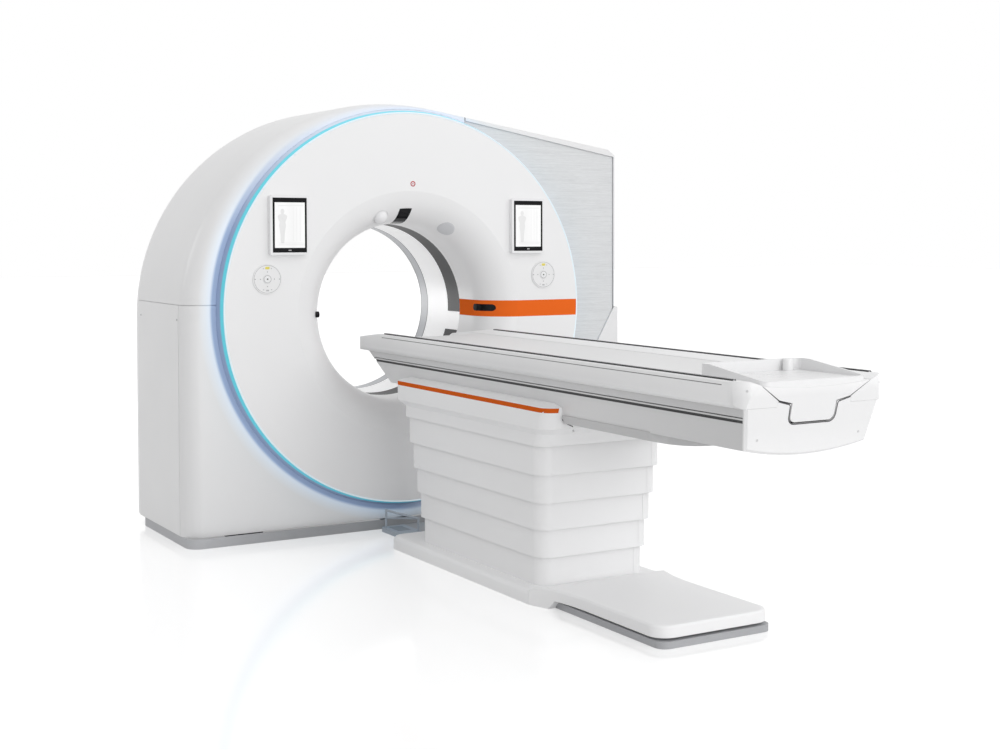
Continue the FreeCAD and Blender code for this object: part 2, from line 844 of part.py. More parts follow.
def stator_frame():
    """Upright plate with a round opening for the bearing, on two wide feet, with ribs at the back."""
    bearing_seat = race_pitch_radius + roller_radius + race_wall + fit_gap
    y0 = stator_y
    y1 = stator_y + stator_thickness
    plate = cylinder_y(stator_radius, y0, y1)
    feet = box(-stator_foot_half, stator_foot_half, y0, y1, frame_rail_height, bore_height - stator_foot_drop)
    hoop = ring_y(bearing_seat, bearing_seat + stator_hoop, race_y + race_length - stator_hoop_depth,
                  y1 + stator_rib)
    body = plate.fuse([feet, hoop])
    for turn in range(30, 360, 60):
        rib = box(bearing_seat + stator_hoop / 2, stator_radius - 10, y1, y1 + stator_rib,
                  bore_height - rib_half, bore_height + rib_half)
        body = body.fuse(turned_about_bore(rib, turn))
    return body.cut(cylinder_y(bearing_seat, -far, far)).removeSplitter()


def bearing_outer_race():
    inner = race_pitch_radius + roller_radius
    return ring_y(inner, inner + race_wall, race_y, race_y + race_length)


def bearing_inner_race():
    outer = race_pitch_radius - roller_radius
    return ring_y(outer - race_wall, outer, race_y, race_y + race_length)


def bearing_roller_cage():
    """Cage ring with one roller in each pocket."""
    mid = race_y + race_length / 2
    half_cage = cage_thickness / 2
    cage = ring_y(race_pitch_radius - half_cage, race_pitch_radius + half_cage,
                  mid - cage_length / 2, mid + cage_length / 2)
    reach = roller_radius + fit_gap
    pocket = box(race_pitch_radius - reach, race_pitch_radius + reach, mid - roller_length / 2 - fit_gap,
                 mid + roller_length / 2 + fit_gap, bore_height - reach, bore_height + reach)
    rollers = []
    for index in range(roller_count):
        turn = 360.0 * index / roller_count
        spot = bore_point(race_pitch_radius, turn, mid - roller_length / 2)
        rollers.append(Part.makeCylinder(roller_radius - roller_slack, roller_length, spot, V(0, 1, 0)))
        cage = cage.cut(turned_about_bore(pocket, turn))
    return Part.makeCompound([cage] + rollers)


def rotor_drum():
    """Turning plate with a deep rim in front and a hub behind that carries the bearing."""
    hub = race_pitch_radius - roller_radius - race_wall - fit_gap
    back = rotor_plate_y + rotor_plate
    hub_back = race_y + race_length + hub_end
    rim_inner = rotor_radius - rotor_rim
    magnet = rotor_radius + magnet_thickness
    return turned_profile([(rotor_inner_radius, rotor_plate_y), (rim_inner, rotor_plate_y),
                           (rim_inner, rotor_front_y), (rotor_radius, rotor_front_y),
                           (rotor_radius, rotor_plate_y - magnet_overlap),
                           (magnet, rotor_plate_y - magnet_overlap), (magnet, back),
                           (hub + hub_shoulder, back), (hub + hub_shoulder, race_y), (hub, race_y),
                           (hub, hub_back), (rotor_inner_radius, hub_back)])


def drive_coils():
    """Three arcs of drive windings that reach forward round the rotor's magnet band."""
    inner = rotor_radius + magnet_thickness + air_gap
    shoe = ring_y(inner, inner + coil_thickness, stator_y - coil_depth, stator_y)
    spread = far * math.tan(math.radians(coil_half_angle))
    wedge = prism_y([(0, bore_height), (far, bore_height - spread), (far, bore_height + spread)], -far, far)
    arcs = []
    for turn in (150, 270, 30):
        arcs.append(shoe.common(turned_about_bore(wedge, turn)))
    return Part.makeCompound(arcs)


def xray_tube():
    """Tube housing on a saddle, and the beam limiter below it."""
    z = bore_height + focus_radius
    housing = cylinder_y(tube_radius, rotor_plate_y - tube_length, rotor_plate_y - saddle_depth / 2, 0, z)
    saddle = box(-tube_radius, tube_radius, rotor_plate_y - saddle_depth, rotor_plate_y, z - tube_radius, z)
    tube = housing.fuse(saddle).removeSplitter()
    low = collimator_width / 2
    throat = low * 0.6
    base_z = z - tube_radius
    nose_z = bore_height + rotor_inner_radius + limiter_gap
    limiter = prism_y([(-throat, base_z), (throat, base_z), (low, nose_z), (-low, nose_z)],
                      -low, rotor_plate_y)
    return Part.makeCompound([tube, limiter.cut(tube)])


def detector_arc():
    """Detector housing on an arc centred at the X-ray source, carried by a rib on the rotor plate."""
    source = bore_height + focus_radius
    near = focus_radius + detector_inner
    body = ring_y(near, near + detector_depth, -detector_width / 2, detector_width / 2, source)
    backbone = ring_y(near + detector_depth * 0.4, near + detector_depth, detector_width / 2,
                      rotor_plate_y, source)
    spread = far * math.tan(math.radians(detector_half_angle))
    wedge = prism_y([(0, source), (spread, source - far), (-spread, source - far)], -far, far)
    return body.fuse(backbone).common(wedge).removeSplitter()


def rotor_box(degrees, inner, outer, half_width, front_y):
    block = box(inner, outer, front_y, rotor_plate_y, bore_height - half_width, bore_height + half_width)
    return turned_about_bore(block, degrees)


def voltage_generator():
    front = rotor_front_y + generator_set_back
    return Part.makeCompound([rotor_box(turn, generator_inner, generator_outer, generator_half, front)
                              for turn in (180, 0)])


def cooling_unit():
    """Heat exchanger with a row of fins."""
    front = rotor_front_y + cooler_set_back
    body = rotor_box(cooler_angle, cooler_inner, cooler_outer, cooler_half, front)
    first = -fin_pitch * (fin_count - 1) / 2
    fins = []
    for index in range(fin_count):
        z = bore_height + first + index * fin_pitch
        fin = box(cooler_outer, cooler_outer + fin_height, front, rotor_plate_y, z - fin_thickness / 2,
                  z + fin_thickness / 2)
        fins.append(turned_about_bore(fin, cooler_angle))
    return body.fuse(fins).removeSplitter()


def slip_ring():
    y0 = rotor_plate_y + rotor_plate
    disc = ring_y(slip_inner, slip_outer, y0, y0 + slip_thickness)
    pitch = (slip_outer - slip_inner) / (slip_tracks + 1)
    for index in range(slip_tracks):
        middle = slip_inner + pitch * (index + 1)
        disc = disc.cut(ring_y(middle - pitch / 4, middle + pitch / 4,
                               y0 + slip_thickness - slip_track_depth, y0 + slip_thickness + 1))
    return disc


def brush_block():
    """Brush holder on the stator, with one brush in each slip-ring track."""
    y0 = rotor_plate_y + rotor_plate + slip_thickness
    block = box(slip_inner, slip_outer, y0 + fit_gap, stator_y, bore_height - brush_block_half,
                bore_height + brush_block_half)
    pitch = (slip_outer - slip_inner) / (slip_tracks + 1)
    brushes = []
    for index in range(slip_tracks):
        middle = slip_inner + pitch * (index + 1)
        brushes.append(box(middle - pitch / 6, middle + pitch / 6,
                           y0 - slip_track_depth + fit_gap, y0 + fit_gap,
                           bore_height - brush_half, bore_height + brush_half))
    return turned_about_bore(block.fuse(brushes).removeSplitter(), brush_angle)


# ---------------------------------------------------------------- table: top and carriage


def foot_y(z):
    """The raked plane of the foot end."""
    return table_foot_y + (wing_top_z - z) * foot_rake


def foot_cut(shift, low, high):
    """Everything beyond the raked foot plane, moved inward by a shift."""
    return prism_x([(foot_y(low) + shift, low), (foot_y(high) + shift, high),
                    (-2 * far, high), (-2 * far, low)], -far, far)


def nose_wedge(top_z):
    """What the sloping nose takes off a surface at a given height."""
    start = nose_y - nose_slope_length
    beyond = nose_slope_length * 1.2
    return prism_x([(start, top_z), (start + beyond, top_z - nose_drop * 1.2),
                    (start + beyond, table_high_z), (start, table_high_z)], -far, far)


def cradle_section(y, grow):
    """Bowl-shaped underside and dished top of the sliding top, grown sideways and down."""
    half = cradle_half + grow
    knee = cradle_knee_x + grow
    flat = cradle_flat_half + grow
    points = [V(half, y, cradle_top_z), V(knee, y, cradle_knee_z - grow), V(flat, y, cradle_bottom_z - grow),
              V(-flat, y, cradle_bottom_z - grow), V(-knee, y, cradle_knee_z - grow), V(-half, y, cradle_top_z)]
    edges = [line(points[i], points[i + 1]) for i in range(len(points) - 1)]
    return edges + [arc(points[-1], V(0, y, cradle_top_z - cradle_sag), points[0])]


def cradle_bar(grow, y0, y1):
    return Part.Face(Part.Wire(cradle_section(y0, grow))).extrude(V(0, y1 - y0, 0))


def plan_round(shape, z0, z1):
    """Rounds the four corners of the table top in plan."""
    plan = box(-wing_half, wing_half, table_foot_y, nose_y, z0, z1)
    plan = plan.makeFillet(nose_corner, upright_edges(plan, lambda p: p.y > nose_y - 1))
    plan = plan.makeFillet(foot_corner, upright_edges(plan, lambda p: p.y < table_foot_y + 1))
    return shape.common(plan)


cradle_end_y = table_foot_y + cradle_end_wall


def cradle():
    bar = cradle_bar(0.0, cradle_end_y, nose_y).cut(nose_wedge(cradle_top_z))
    plan = box(-cradle_half, cradle_half, cradle_end_y, nose_y, table_low_z, table_high_z)
    plan = plan.makeFillet(nose_corner, upright_edges(plan, lambda p: p.y > nose_y - 1))
    return bar.common(plan)


def wing(side):
    """One side wing: an upturned outer edge that holds the rail, and an inner edge that follows the top."""
    inner = cradle_half + cradle_gap
    rail_in = wing_half - rail_inset - rail_width
    edge = wing_edge_round
    root = cradle_knee_x + wing_root
    y0 = table_foot_y
    pts = [V(root, y0, wing_bottom_z), V(wing_half - edge, y0, wing_bottom_z),
           V(wing_half, y0, wing_bottom_z + 2 * edge), V(wing_half, y0, wing_top_z - wing_lip),
           V(wing_half - wing_lip, y0, wing_top_z), V(rail_in - 2 * rail_side_gap, y0, wing_top_z),
           V(inner, y0, wing_inner_top_z), V(root, y0, wing_inner_top_z)]
    bend = V(wing_half - edge * 0.25, y0, wing_bottom_z + edge * 0.6)
    edges = [line(pts[0], pts[1]), arc(pts[1], bend, pts[2])]
    edges += [line(pts[i], pts[(i + 1) % len(pts)]) for i in range(2, len(pts))]
    bar = Part.Face(Part.Wire(edges)).extrude(V(0, nose_y - table_foot_y, 0))
    bar = bar.cut(cradle_bar(cradle_gap, table_foot_y - 10, nose_y + 10))
    above = [(0, cradle_top_z - cradle_sag), (cradle_knee_x, cradle_top_z - cradle_sag),
             (inner, cradle_top_z), (inner, table_high_z), (0, table_high_z)]
    bar = bar.cut(prism_y(above, table_foot_y - 1, nose_y + 1))
    bar = bar.cut(nose_wedge(wing_top_z)).cut(foot_cut(0.0, table_low_z, table_high_z))
    bar = plan_round(bar, table_low_z, table_high_z).cut(rail_bar(rail_side_gap))
    if side < 0:
        return mirrored(bar)
    return bar


def rail_bar(gap):
    """The rail, or with a gap the channel that it lies in."""
    x1 = wing_half - rail_inset + gap
    x0 = wing_half - rail_inset - rail_width - gap
    return box(x0, x1, rail_back_y - gap, rail_front_y + gap, wing_top_z - rail_height / 2 - min(gap, fit_gap),
               wing_top_z + rail_height / 2)


def side_rail():
    """Accessory rail with a groove along its top."""
    middle = wing_half - rail_inset - rail_width / 2
    top = wing_top_z + rail_height / 2
    groove = box(middle - rail_groove_half, middle + rail_groove_half, rail_back_y - 1, rail_front_y + 1,
                 top - rail_groove_depth, top + 1)
    return rail_bar(0.0).cut(groove)


body_bottom = belly_z - 80.0
body_side_run = (body_top_half - body_low_half) / (wing_bottom_z - body_low_z)


def body_section(y, inset, drop):
    """(x, z) section of the lower housing: raked sides and a rounded belly."""
    top = wing_bottom_z - fit_gap
    top_half = body_top_half - inset
    low_half = body_low_half - inset
    low_z = body_low_z - drop + inset * body_side_run
    corners = [V(-top_half, y, top), V(-low_half, y, low_z), V(low_half, y, low_z), V(top_half, y, top)]
    belly = V(0, y, belly_z - drop + inset)
    return [line(corners[0], corners[1]), arc(corners[1], belly, corners[2]),
            line(corners[2], corners[3]), line(corners[3], corners[0])]


def body_mass(inset, y0, y1):
    return Part.Face(Part.Wire(body_section(y0, inset, 0.0))).extrude(V(0, y1 - y0, 0))


def nose_rake(shift):
    """What the raked nose of the lower housing takes away."""
    run = (body_nose_top_y - body_nose_low_y) / (wing_bottom_z - body_low_z)
    low = body_bottom
    high = table_high_z
    return prism_x([(body_nose_low_y - (body_low_z - low) * run - shift, low),
                    (body_nose_top_y + (high - wing_bottom_z) * run - shift, high),
                    (far, high), (far, low)], -far, far)


body_outer = body_mass(0.0, table_foot_y, body_nose_top_y + 50).cut(nose_rake(0.0))
body_foot_tool = foot_cut(end_panel_thickness, body_bottom, table_high_z)


def carriage_body():
    inner = body_mass(body_wall, table_foot_y - 50, body_nose_top_y + 80).cut(nose_rake(body_wall))
    top_open = box(-body_top_half + body_wall, body_top_half - body_wall, table_foot_y, nose_y,
                   wing_bottom_z - body_opening, table_high_z)
    shape = body_outer.cut(inner).cut(top_open.cut(nose_rake(body_wall))).cut(body_foot_tool)
    half = body_top_half - body_side_run * (wing_bottom_z - body_groove_z) - body_groove_depth
    groove = box(half, far, rail_back_y, body_nose_low_y + groove_reach,
                 body_groove_z - body_groove_height / 2, body_groove_z + body_groove_height / 2)
    well_half = column_half + body_opening
    well = box(-well_half, well_half, column_ys[1] - well_half, column_ys[0] + well_half, body_bottom,
               belly_z + 60)
    return shape.cut([groove, mirrored(groove), well])


def handle_notch(gap):
    half = handle_half + gap
    block = box(-half, half, table_foot_y - 60, table_foot_y + 220, handle_bottom_z - gap, table_high_z)
    edges = [e for e in block.Edges if abs(e.tangentAt(e.FirstParameter).y) > 0.999
             and e.CenterOfMass.z < wing_bottom_z]
    return block.makeFillet(handle_corner, edges)


def end_panel():
    """Foot-end panel of the lower housing, with rounded edges and the notch for the handle."""
    plate = body_mass(0.0, table_foot_y - 10, table_foot_y + 200).common(foot_strip(table_high_z))
    rim = [e for e in plate.Edges if e.CenterOfMass.y < foot_y(e.CenterOfMass.z) + 1
           and e.CenterOfMass.z < wing_bottom_z - 2]
    plate = plate.makeChamfer(end_panel_round, rim)
    root = cradle_knee_x + wing_root - fit_gap
    raised = box(-root, root, table_foot_y - 10, table_foot_y + 200, wing_bottom_z - 3,
                 cradle_knee_z + wing_root).common(foot_strip(table_high_z))
    above = cradle_bar(end_panel_gap, table_foot_y - 20, table_foot_y + 210)
    return plate.fuse(raised).cut(above).cut(handle_notch(handle_gap)).removeSplitter()


def foot_strip(high):
    """A raked slice, as thick as the end panel, at the foot end."""
    thick = end_panel_thickness - fit_gap
    return prism_x([(foot_y(body_bottom), body_bottom), (foot_y(high), high), (foot_y(high) + thick, high),
                    (foot_y(body_bottom) + thick, body_bottom)], -far, far)


def underside_cover():
    """Shallow pan under the housing, from the collar to its own rounded end."""
    section = Part.Face(Part.Wire(body_section(pan_foot_y, 0.0, under_drop)))
    outer = section.extrude(V(0, under_front_y - pan_foot_y, 0))
    half = body_low_half + pan_lap
    plan = box(-half, half, pan_foot_y, under_front_y, body_bottom, body_low_z + pan_lap)
    plan = plan.makeFillet(pan_corner, upright_edges(plan, lambda p: p.y < pan_foot_y + 1))
    return outer.common(plan).cut(body_mass(-fit_gap, pan_foot_y - 50, under_front_y + 50))


def cradle_handle():
    """End cap of the sliding top with its hanging grip."""
    cap = cradle_bar(0.0, table_foot_y - 5, cradle_end_y)
    low = handle_bottom_z - 10
    high = cradle_bottom_z
    slice_edges = [(foot_y(low), low), (foot_y(high), high), (foot_y(high) + handle_thickness, high),
                   (foot_y(low) + handle_thickness, low)]
    grip = handle_notch(0.0).common(prism_x(slice_edges, -handle_half, handle_half))
    neck = box(-handle_half, handle_half, table_foot_y - 5, cradle_end_y, high - 4, high + 4)
    return cap.fuse([grip, neck]).cut(foot_cut(0.0, table_low_z, table_high_z)).removeSplitter()


def above_dish():
    """Everything above the dished top."""
    y = table_foot_y - 10
    right = V(cradle_half, y, cradle_top_z)
    left = V(-cradle_half, y, cradle_top_z)
    high_right = V(cradle_half, y, table_high_z)
    high_left = V(-cradle_half, y, table_high_z)
    edges = [arc(left, V(0, y, cradle_top_z - cradle_sag), right), line(right, high_right),
             line(high_right, high_left), line(high_left, left)]
    return Part.Face(Part.Wire(edges)).extrude(V(0, nose_y - y, 0))


def foot_tray():
    """Raised tray at the foot end of the top, with a rounded knob."""
    half = cradle_half - tray_inset
    y0 = foot_y(cradle_top_z) + 3
    y1 = y0 + tray_length
    base_z = cradle_top_z - cradle_sag
    top_z = cradle_top_z + tray_height
    block = box(-half, half, y0, y1, base_z, top_z)
    block = block.makeFillet(tray_corner, upright_edges(block))
    dish = box(-half + tray_wall, half - tray_wall, y0 + tray_wall, y1 - tray_wall,
               cradle_top_z + tray_floor, top_z + 1)
    dish = dish.makeFillet(tray_corner - tray_wall, upright_edges(dish))
    slope_cut = prism_x([(y0 - 1, cradle_top_z + tray_floor + 4), (y1 - 60, top_z), (y1 - 60, top_z + 60),
                         (y0 - 1, top_z + 60)], -far, far)
    tray = block.cut(dish).cut(slope_cut)
    return tray.common(above_dish()), y1


def tray_knob(tray_end_y):
    z0 = cradle_top_z + tray_floor
    y = tray_end_y - tray_wall - tray_knob_radius - 6
    profile = [V(0, 0, 0), V(tray_knob_radius, 0, 0)]
    for radius_share, height_share in tray_knob_dome:
        profile.append(V(radius_share * tray_knob_radius, 0, height_share * tray_knob_height))
    knob = closed_face(profile).revolve(V(0, 0, 0), V(0, 0, 1), 360)
    knob.translate(V(tray_knob_x, y, z0))
    return knob


# ---------------------------------------------------------------- table: drive inside the carriage


def girder(side):
    """Channel section girder with the linear guide along its top."""
    x = side * girder_x
    half = girder_width / 2
    z0 = column_top_z
    z1 = column_top_z + girder_height
    bar = box(x - half, x + half, girder_foot_y, girder_front_y, z0, z1)
    hollow_x = x - half if side < 0 else x - half + girder_wall
    bar = bar.cut(box(hollow_x, hollow_x + girder_width - girder_wall, girder_foot_y - 1, girder_front_y + 1,
                      z0 + girder_wall, z1 - girder_wall))
    guide = box(x - guide_width / 2, x + guide_width / 2, girder_foot_y, girder_front_y, z1, z1 + guide_height)
    return bar.fuse(guide)


def top_tubes():
    tubes = []
    for y in column_ys:
        tubes.append(column_tube(y, 2, column_top_z - column_tube_length))
    return tubes


def column_tube(y, stage, z0):
    """Square tube of one lifting stage; each stage slides inside the one before."""
    half = column_half - stage * (column_wall + fit_gap)
    outer = box(-half, half, y - half, y + half, z0, z0 + column_tube_length)
    inner_half = half - column_wall
    return outer.cut(box(-inner_half, inner_half, y - inner_half, y + inner_half, z0 - 1,
                         z0 + column_tube_length + 1))


def carriage_frame():
    """Two girders, cross members, and the top tubes of both lifting columns, welded together."""
    inner = girder_x - girder_width / 2
    z0 = column_top_z
    parts = [girder(-1), girder(1)]
    low = z0 + 40
    for y in (girder_front_y - 40, motor_pulley_y, column_ys[0], column_ys[1], under_front_y - 200,
              idler_pulley_y):
        parts.append(box(-inner - 1, inner + 1, y - 30, y + 30, z0, low))
    for y in column_ys:
        half = column_half - 2 * (column_wall + fit_gap)
        parts.append(box(-inner - 1, inner + 1, y - half, y + half, z0, z0 + 10))
    cradle_support = box(-inner, inner, girder_front_y - 70, girder_front_y - 20, z0, z0 + 40)
    motor_seat = box(motor_x0, motor_x1, motor_pulley_y - 20, motor_pulley_y + 20, z0 + 20,
                     pulley_z - motor_radius + 3)
    idler_ear = box(belt_x + belt_width / 2 + 4, inner + 2, idler_pulley_y - 14, idler_pulley_y + 14,
                    z0 + 20, pulley_z + 12)
    frame = parts[0].fuse(parts[1:] + [cradle_support, motor_seat, idler_ear] + top_tubes())
    frame = frame.cut(cylinder_x(motor_radius + fit_gap, motor_x0 - 50, motor_x1 + 1, motor_pulley_y, pulley_z))
    frame = frame.cut(cylinder_x(shaft_radius + shaft_slack, belt_x - 30, inner + 30, idler_pulley_y, pulley_z))
    for y in (girder_foot_y + 30, column_ys[0] + column_half + 60, body_nose_low_y - 120):
        for side in (-1, 1):
            x0 = girder_x + girder_width / 2 - 1
            reach = body_low_half - body_wall + (z0 - body_low_z) * 0.18 - fit_gap
            bracket = box(min(side * x0, side * reach), max(side * x0, side * reach), y - 25, y + 25, z0, z0 + 8)
            frame = frame.fuse(bracket)
    return frame.removeSplitter()


motor_x1 = belt_x - belt_width / 2 - 6
motor_x0 = motor_x1 - 110


def slide_motor():
    body = cylinder_x(motor_radius, motor_x0, motor_x1, motor_pulley_y, pulley_z)
    bore = cylinder_x(shaft_radius + shaft_slack, motor_x1 - 24, motor_x1 + 1, motor_pulley_y, pulley_z)
    return body.cut(bore)


def pulley(y, shaft_x0, shaft_x1):
    """Belt pulley on its own shaft."""
    reach = belt_width / 2 + pulley_margin
    hub = cylinder_x(pulley_radius, belt_x - reach, belt_x + reach, y, pulley_z)
    shaft = cylinder_x(shaft_radius, shaft_x0, shaft_x1, y, pulley_z)
    return hub.fuse(shaft).removeSplitter()


def belt_loop(radius, x0, x1):
    """Flat loop round both pulleys."""
    low = pulley_z - radius
    bar = box(x0, x1, idler_pulley_y, motor_pulley_y, low, low + 2 * radius)
    ends = [cylinder_x(radius, x0, x1, idler_pulley_y, pulley_z),
            cylinder_x(radius, x0, x1, motor_pulley_y, pulley_z)]
    return bar.fuse(ends)


def slide_belt():
    x0 = belt_x - belt_width / 2
    x1 = belt_x + belt_width / 2
    inner = pulley_radius + fit_gap
    outer = inner + belt_thickness
    return belt_loop(outer, x0, x1).cut(belt_loop(inner, x0 - 1, x1 + 1)).removeSplitter()


def cradle_sled():
    """Plate under the sliding top, with saddles on the guides and a clamp over the belt."""
    z1 = cradle_bottom_z
    z0 = z1 - sled_plate
    guide_top = column_top_z + girder_height + guide_height
    plate = box(-cradle_flat_half, cradle_flat_half, sled_foot_y, sled_front_y, z0, z1)
    wings = box(-girder_x - 20, girder_x + 20, sled_foot_y, sled_front_y, z0 - 4, z0 + 2)
    parts = [wings]
    half = guide_width / 2
    for side in (-1, 1):
        for y in (sled_foot_y + 10, sled_front_y - 90):
            x = side * girder_x
            block = box(x - half - 9, x + half + 9, y, y + 80, guide_top - 14, z0 - 3)
            block = block.cut(box(x - half - fit_gap, x + half + fit_gap, y - 1, y + 81,
                                  guide_top - 20, guide_top + fit_gap))
            parts.append(block)
    belt_top = pulley_z + pulley_radius + fit_gap + belt_thickness
    parts.append(box(belt_x - 12, belt_x + 12, sled_foot_y + 100, sled_foot_y + 180, belt_top + fit_gap, z0 - 3))
    return plate.fuse(parts).removeSplitter()


# ---------------------------------------------------------------- table: shrouds, columns and base

tier_halves = [collar_half - tier_step_side * (k + 1) for k in range(tier_count)]
tier_foot_ys = [collar_foot_y + tier_step_end * (k + 1) for k in range(tier_count)]
tier_front_ys = [collar_front_y - tier_step_end * (k + 1) for k in range(tier_count)]


def shroud_slab(half, foot, front, z0, z1, inset):
    corner = shroud_corner - inset
    return slab(half - inset, foot + inset, front - inset, z0, z1, corner)


def tier(index):
    """One shroud ring. A lip at its top runs on the ring above it."""
    half = tier_halves[index]
    foot = tier_foot_ys[index]
    front = tier_front_ys[index]
    z0 = tier_bottoms[index]
    above_z = collar_bottom_z if index == 0 else tier_bottoms[index - 1]
    z1 = above_z + tier_overlap
    ring = shroud_slab(half, foot, front, z0, z1, 0.0).cut(
        shroud_slab(half, foot, front, z0 - 1, z1 + 1, shroud_wall))
    upper_half = collar_half if index == 0 else tier_halves[index - 1]
    upper_foot = collar_foot_y if index == 0 else tier_foot_ys[index - 1]
    upper_front = collar_front_y if index == 0 else tier_front_ys[index - 1]
    reach = shroud_slab(upper_half, upper_foot, upper_front, z1 - lip_height, z1, shroud_wall + fit_gap)
    top_lip = reach.cut(shroud_slab(half, foot, front, z1 - lip_height - 1, z1 + 1, shroud_wall))
    seam_x = half - shroud_corner
    seam = box(seam_x, seam_x + tier_seam_width, foot - 1, foot + tier_seam_depth, z0 - 1, above_z)
    return ring.fuse(top_lip).cut(seam).removeSplitter()


def rounded_wire(half, foot, front, z, corner):
    """Closed wire of a rounded rectangle at one height."""
    plate = slab(half, foot, front, z, z + 1, corner)
    return [f for f in plate.Faces if abs(f.CenterOfMass.z - z) < 1e-6][0].OuterWire


def soft_slab(half, foot, front, z1, corner, edge):
    """A rounded slab on the floor whose top edge is rounded in a few straight steps."""
    wires = [rounded_wire(half, foot, front, 0.0, corner)]
    for step in range(edge_steps + 1):
        turn = math.pi / 2 * step / edge_steps
        inset = edge * (1 - math.cos(turn))
        wires.append(rounded_wire(half - inset, foot + inset, front - inset, z1 - edge * (1 - math.sin(turn)),
                                  corner - inset))
    return Part.makeLoft(wires, True, True)


def collar_mass(inset):
    """Straight skirt, chamfer out to the flange, and a sloping top."""
    out = collar_flange_half - collar_half
    levels = [(0.0, collar_bottom_z, 0.0), (0.0, collar_flange_low_z - collar_bevel, collar_skirt_flare),
              (out, collar_flange_low_z, collar_low_flare), (out, collar_flange_high_z, 1.0),
              (out - collar_top_run, collar_top_z - inset, 1.0)]
    wires = []
    for grow, z, flare in levels:
        half = collar_half + grow - inset
        foot = collar_foot_y - grow - flare * collar_flare + inset
        front = collar_front_y + grow - inset
        wires.append(rounded_wire(half, foot, front, z, shroud_corner - inset))
    return Part.makeLoft(wires, True, True)


def collar():
    inner = collar_mass(shroud_wall)
    below = slab(collar_half - shroud_wall, collar_foot_y + shroud_wall, collar_front_y - shroud_wall,
                 collar_bottom_z - 10, collar_bottom_z + 1, shroud_corner - shroud_wall)
    shape = collar_mass(0.0).cut([inner, below])
    shape = shape.cut(body_mass(-fit_gap, table_foot_y, body_nose_top_y))
    return biggest(shape.cut(underside_space()).cut(stripe_tool()))


def underside_space():
    """Room for the pan under the foot half, with a running gap."""
    start = Part.Face(Part.Wire(body_section(table_foot_y, -fit_gap, under_drop + fit_gap)))
    bar = start.extrude(V(0, under_front_y + fit_gap - table_foot_y, 0))
    return bar


def biggest(shape):
    return max(shape.Solids, key=lambda s: s.Volume)


def stripe_tool():
    """Strip just below the flange's upper edge, on both long sides and round the foot corners."""
    z1 = collar_flange_high_z - stripe_drop
    z0 = z1 - stripe_height
    half = collar_flange_half
    foot = collar_foot_y - (half - collar_half) - collar_flare
    front = collar_front_y + (half - collar_half)
    outer = slab(half + 5, foot - 5, front + 5, z0, z1, shroud_corner)
    inner = slab(half - stripe_depth, foot + stripe_depth, front - stripe_depth, z0 - 1, z1 + 1,
                 shroud_corner - stripe_depth)
    keep = box(-far, far, foot + shroud_corner * 0.5, stripe_front_y, z0 - 5, z1 + 5)
    return outer.cut(inner).common(keep)


def orange_stripe():
    return collar_mass(0.0).common(stripe_tool())


def table_base_plate():
    """Long floor plate with the fixed tubes of both lifting columns."""
    plate = slab(floor_plate_half, floor_plate_foot_y, floor_plate_front_y, 0, floor_plate_thickness, 40.0)
    for y in column_ys:
        plate = plate.fuse(column_tube(y, 0, floor_plate_thickness))
    plate = plate.fuse(box(-link_half, link_half, floor_plate_front_y - 50, -frame_rail_width / 2,
                           0, link_thickness))
    middle = (column_ys[0] + column_ys[1]) / 2
    for x in (-anchor_table_x, anchor_table_x):
        for y in (middle - anchor_table_y, middle + anchor_table_y):
            plate = plate.cut(cylinder_z(anchor_hole_radius, -1, floor_plate_thickness + 1, x, y))
    return plate.removeSplitter()


def column_middle_tubes():
    z0 = floor_plate_thickness + 2 + lift_travel / 2
    return Part.makeCompound([column_tube(y, 1, z0) for y in column_ys])


base_foot_y = tier_foot_ys[-1] - base_foot_gap
step_front_y = base_foot_y - seam_gap


def table_base_cover():
    """Low cover round the foot of the shrouds, with a rounded top edge, open towards the step."""
    block = soft_slab(base_half, base_foot_y - 2 * shroud_corner, base_front_y, base_top_z, shroud_corner,
                      base_edge_round)
    block = block.cut(box(-far, far, -2 * far, base_foot_y, -1, base_top_z + 1))
    half = base_half - base_edge_round
    inner = box(-half, half, base_foot_y - 1, base_front_y - base_edge_round, -1, base_top_z - base_wall)
    hole = shroud_slab(tier_halves[-1], tier_foot_ys[-1], tier_front_ys[-1], 0, base_top_z + 1, base_ledge)
    link = box(-link_half - fit_gap, link_half + fit_gap, base_front_y - 60, base_front_y + 1, -1,
               link_thickness + fit_gap)
    return block.cut(inner).cut(hole).cut(link)


def step_wire(inset, z):
    """Outline of the step at one height: straight foot, round corners, and a waist up to the base cover."""
    half = step_half - inset
    foot = step_foot_y + inset
    corner_y = step_foot_y + step_corner
    corner_x = step_half - step_corner
    bend = (step_corner - inset) * math.sqrt(0.5)
    side = [V(base_half - inset, step_front_y, z)]
    side += [V(x - inset, y, z) for y, x in step_waist] + [V(half, corner_y, z)]
    other = [V(-p.x, p.y, z) for p in reversed(side)]
    edges = [line(side[i], side[i + 1]) for i in range(len(side) - 1)]
    edges.append(arc(side[-1], V(corner_x + bend, corner_y - bend, z), V(corner_x, foot, z)))
    edges.append(line(V(corner_x, foot, z), V(-corner_x, foot, z)))
    edges.append(arc(V(-corner_x, foot, z), V(-corner_x - bend, corner_y - bend, z), other[0]))
    edges += [line(other[i], other[i + 1]) for i in range(len(other) - 1)]
    return Part.Wire(edges + [line(other[-1], side[0])])


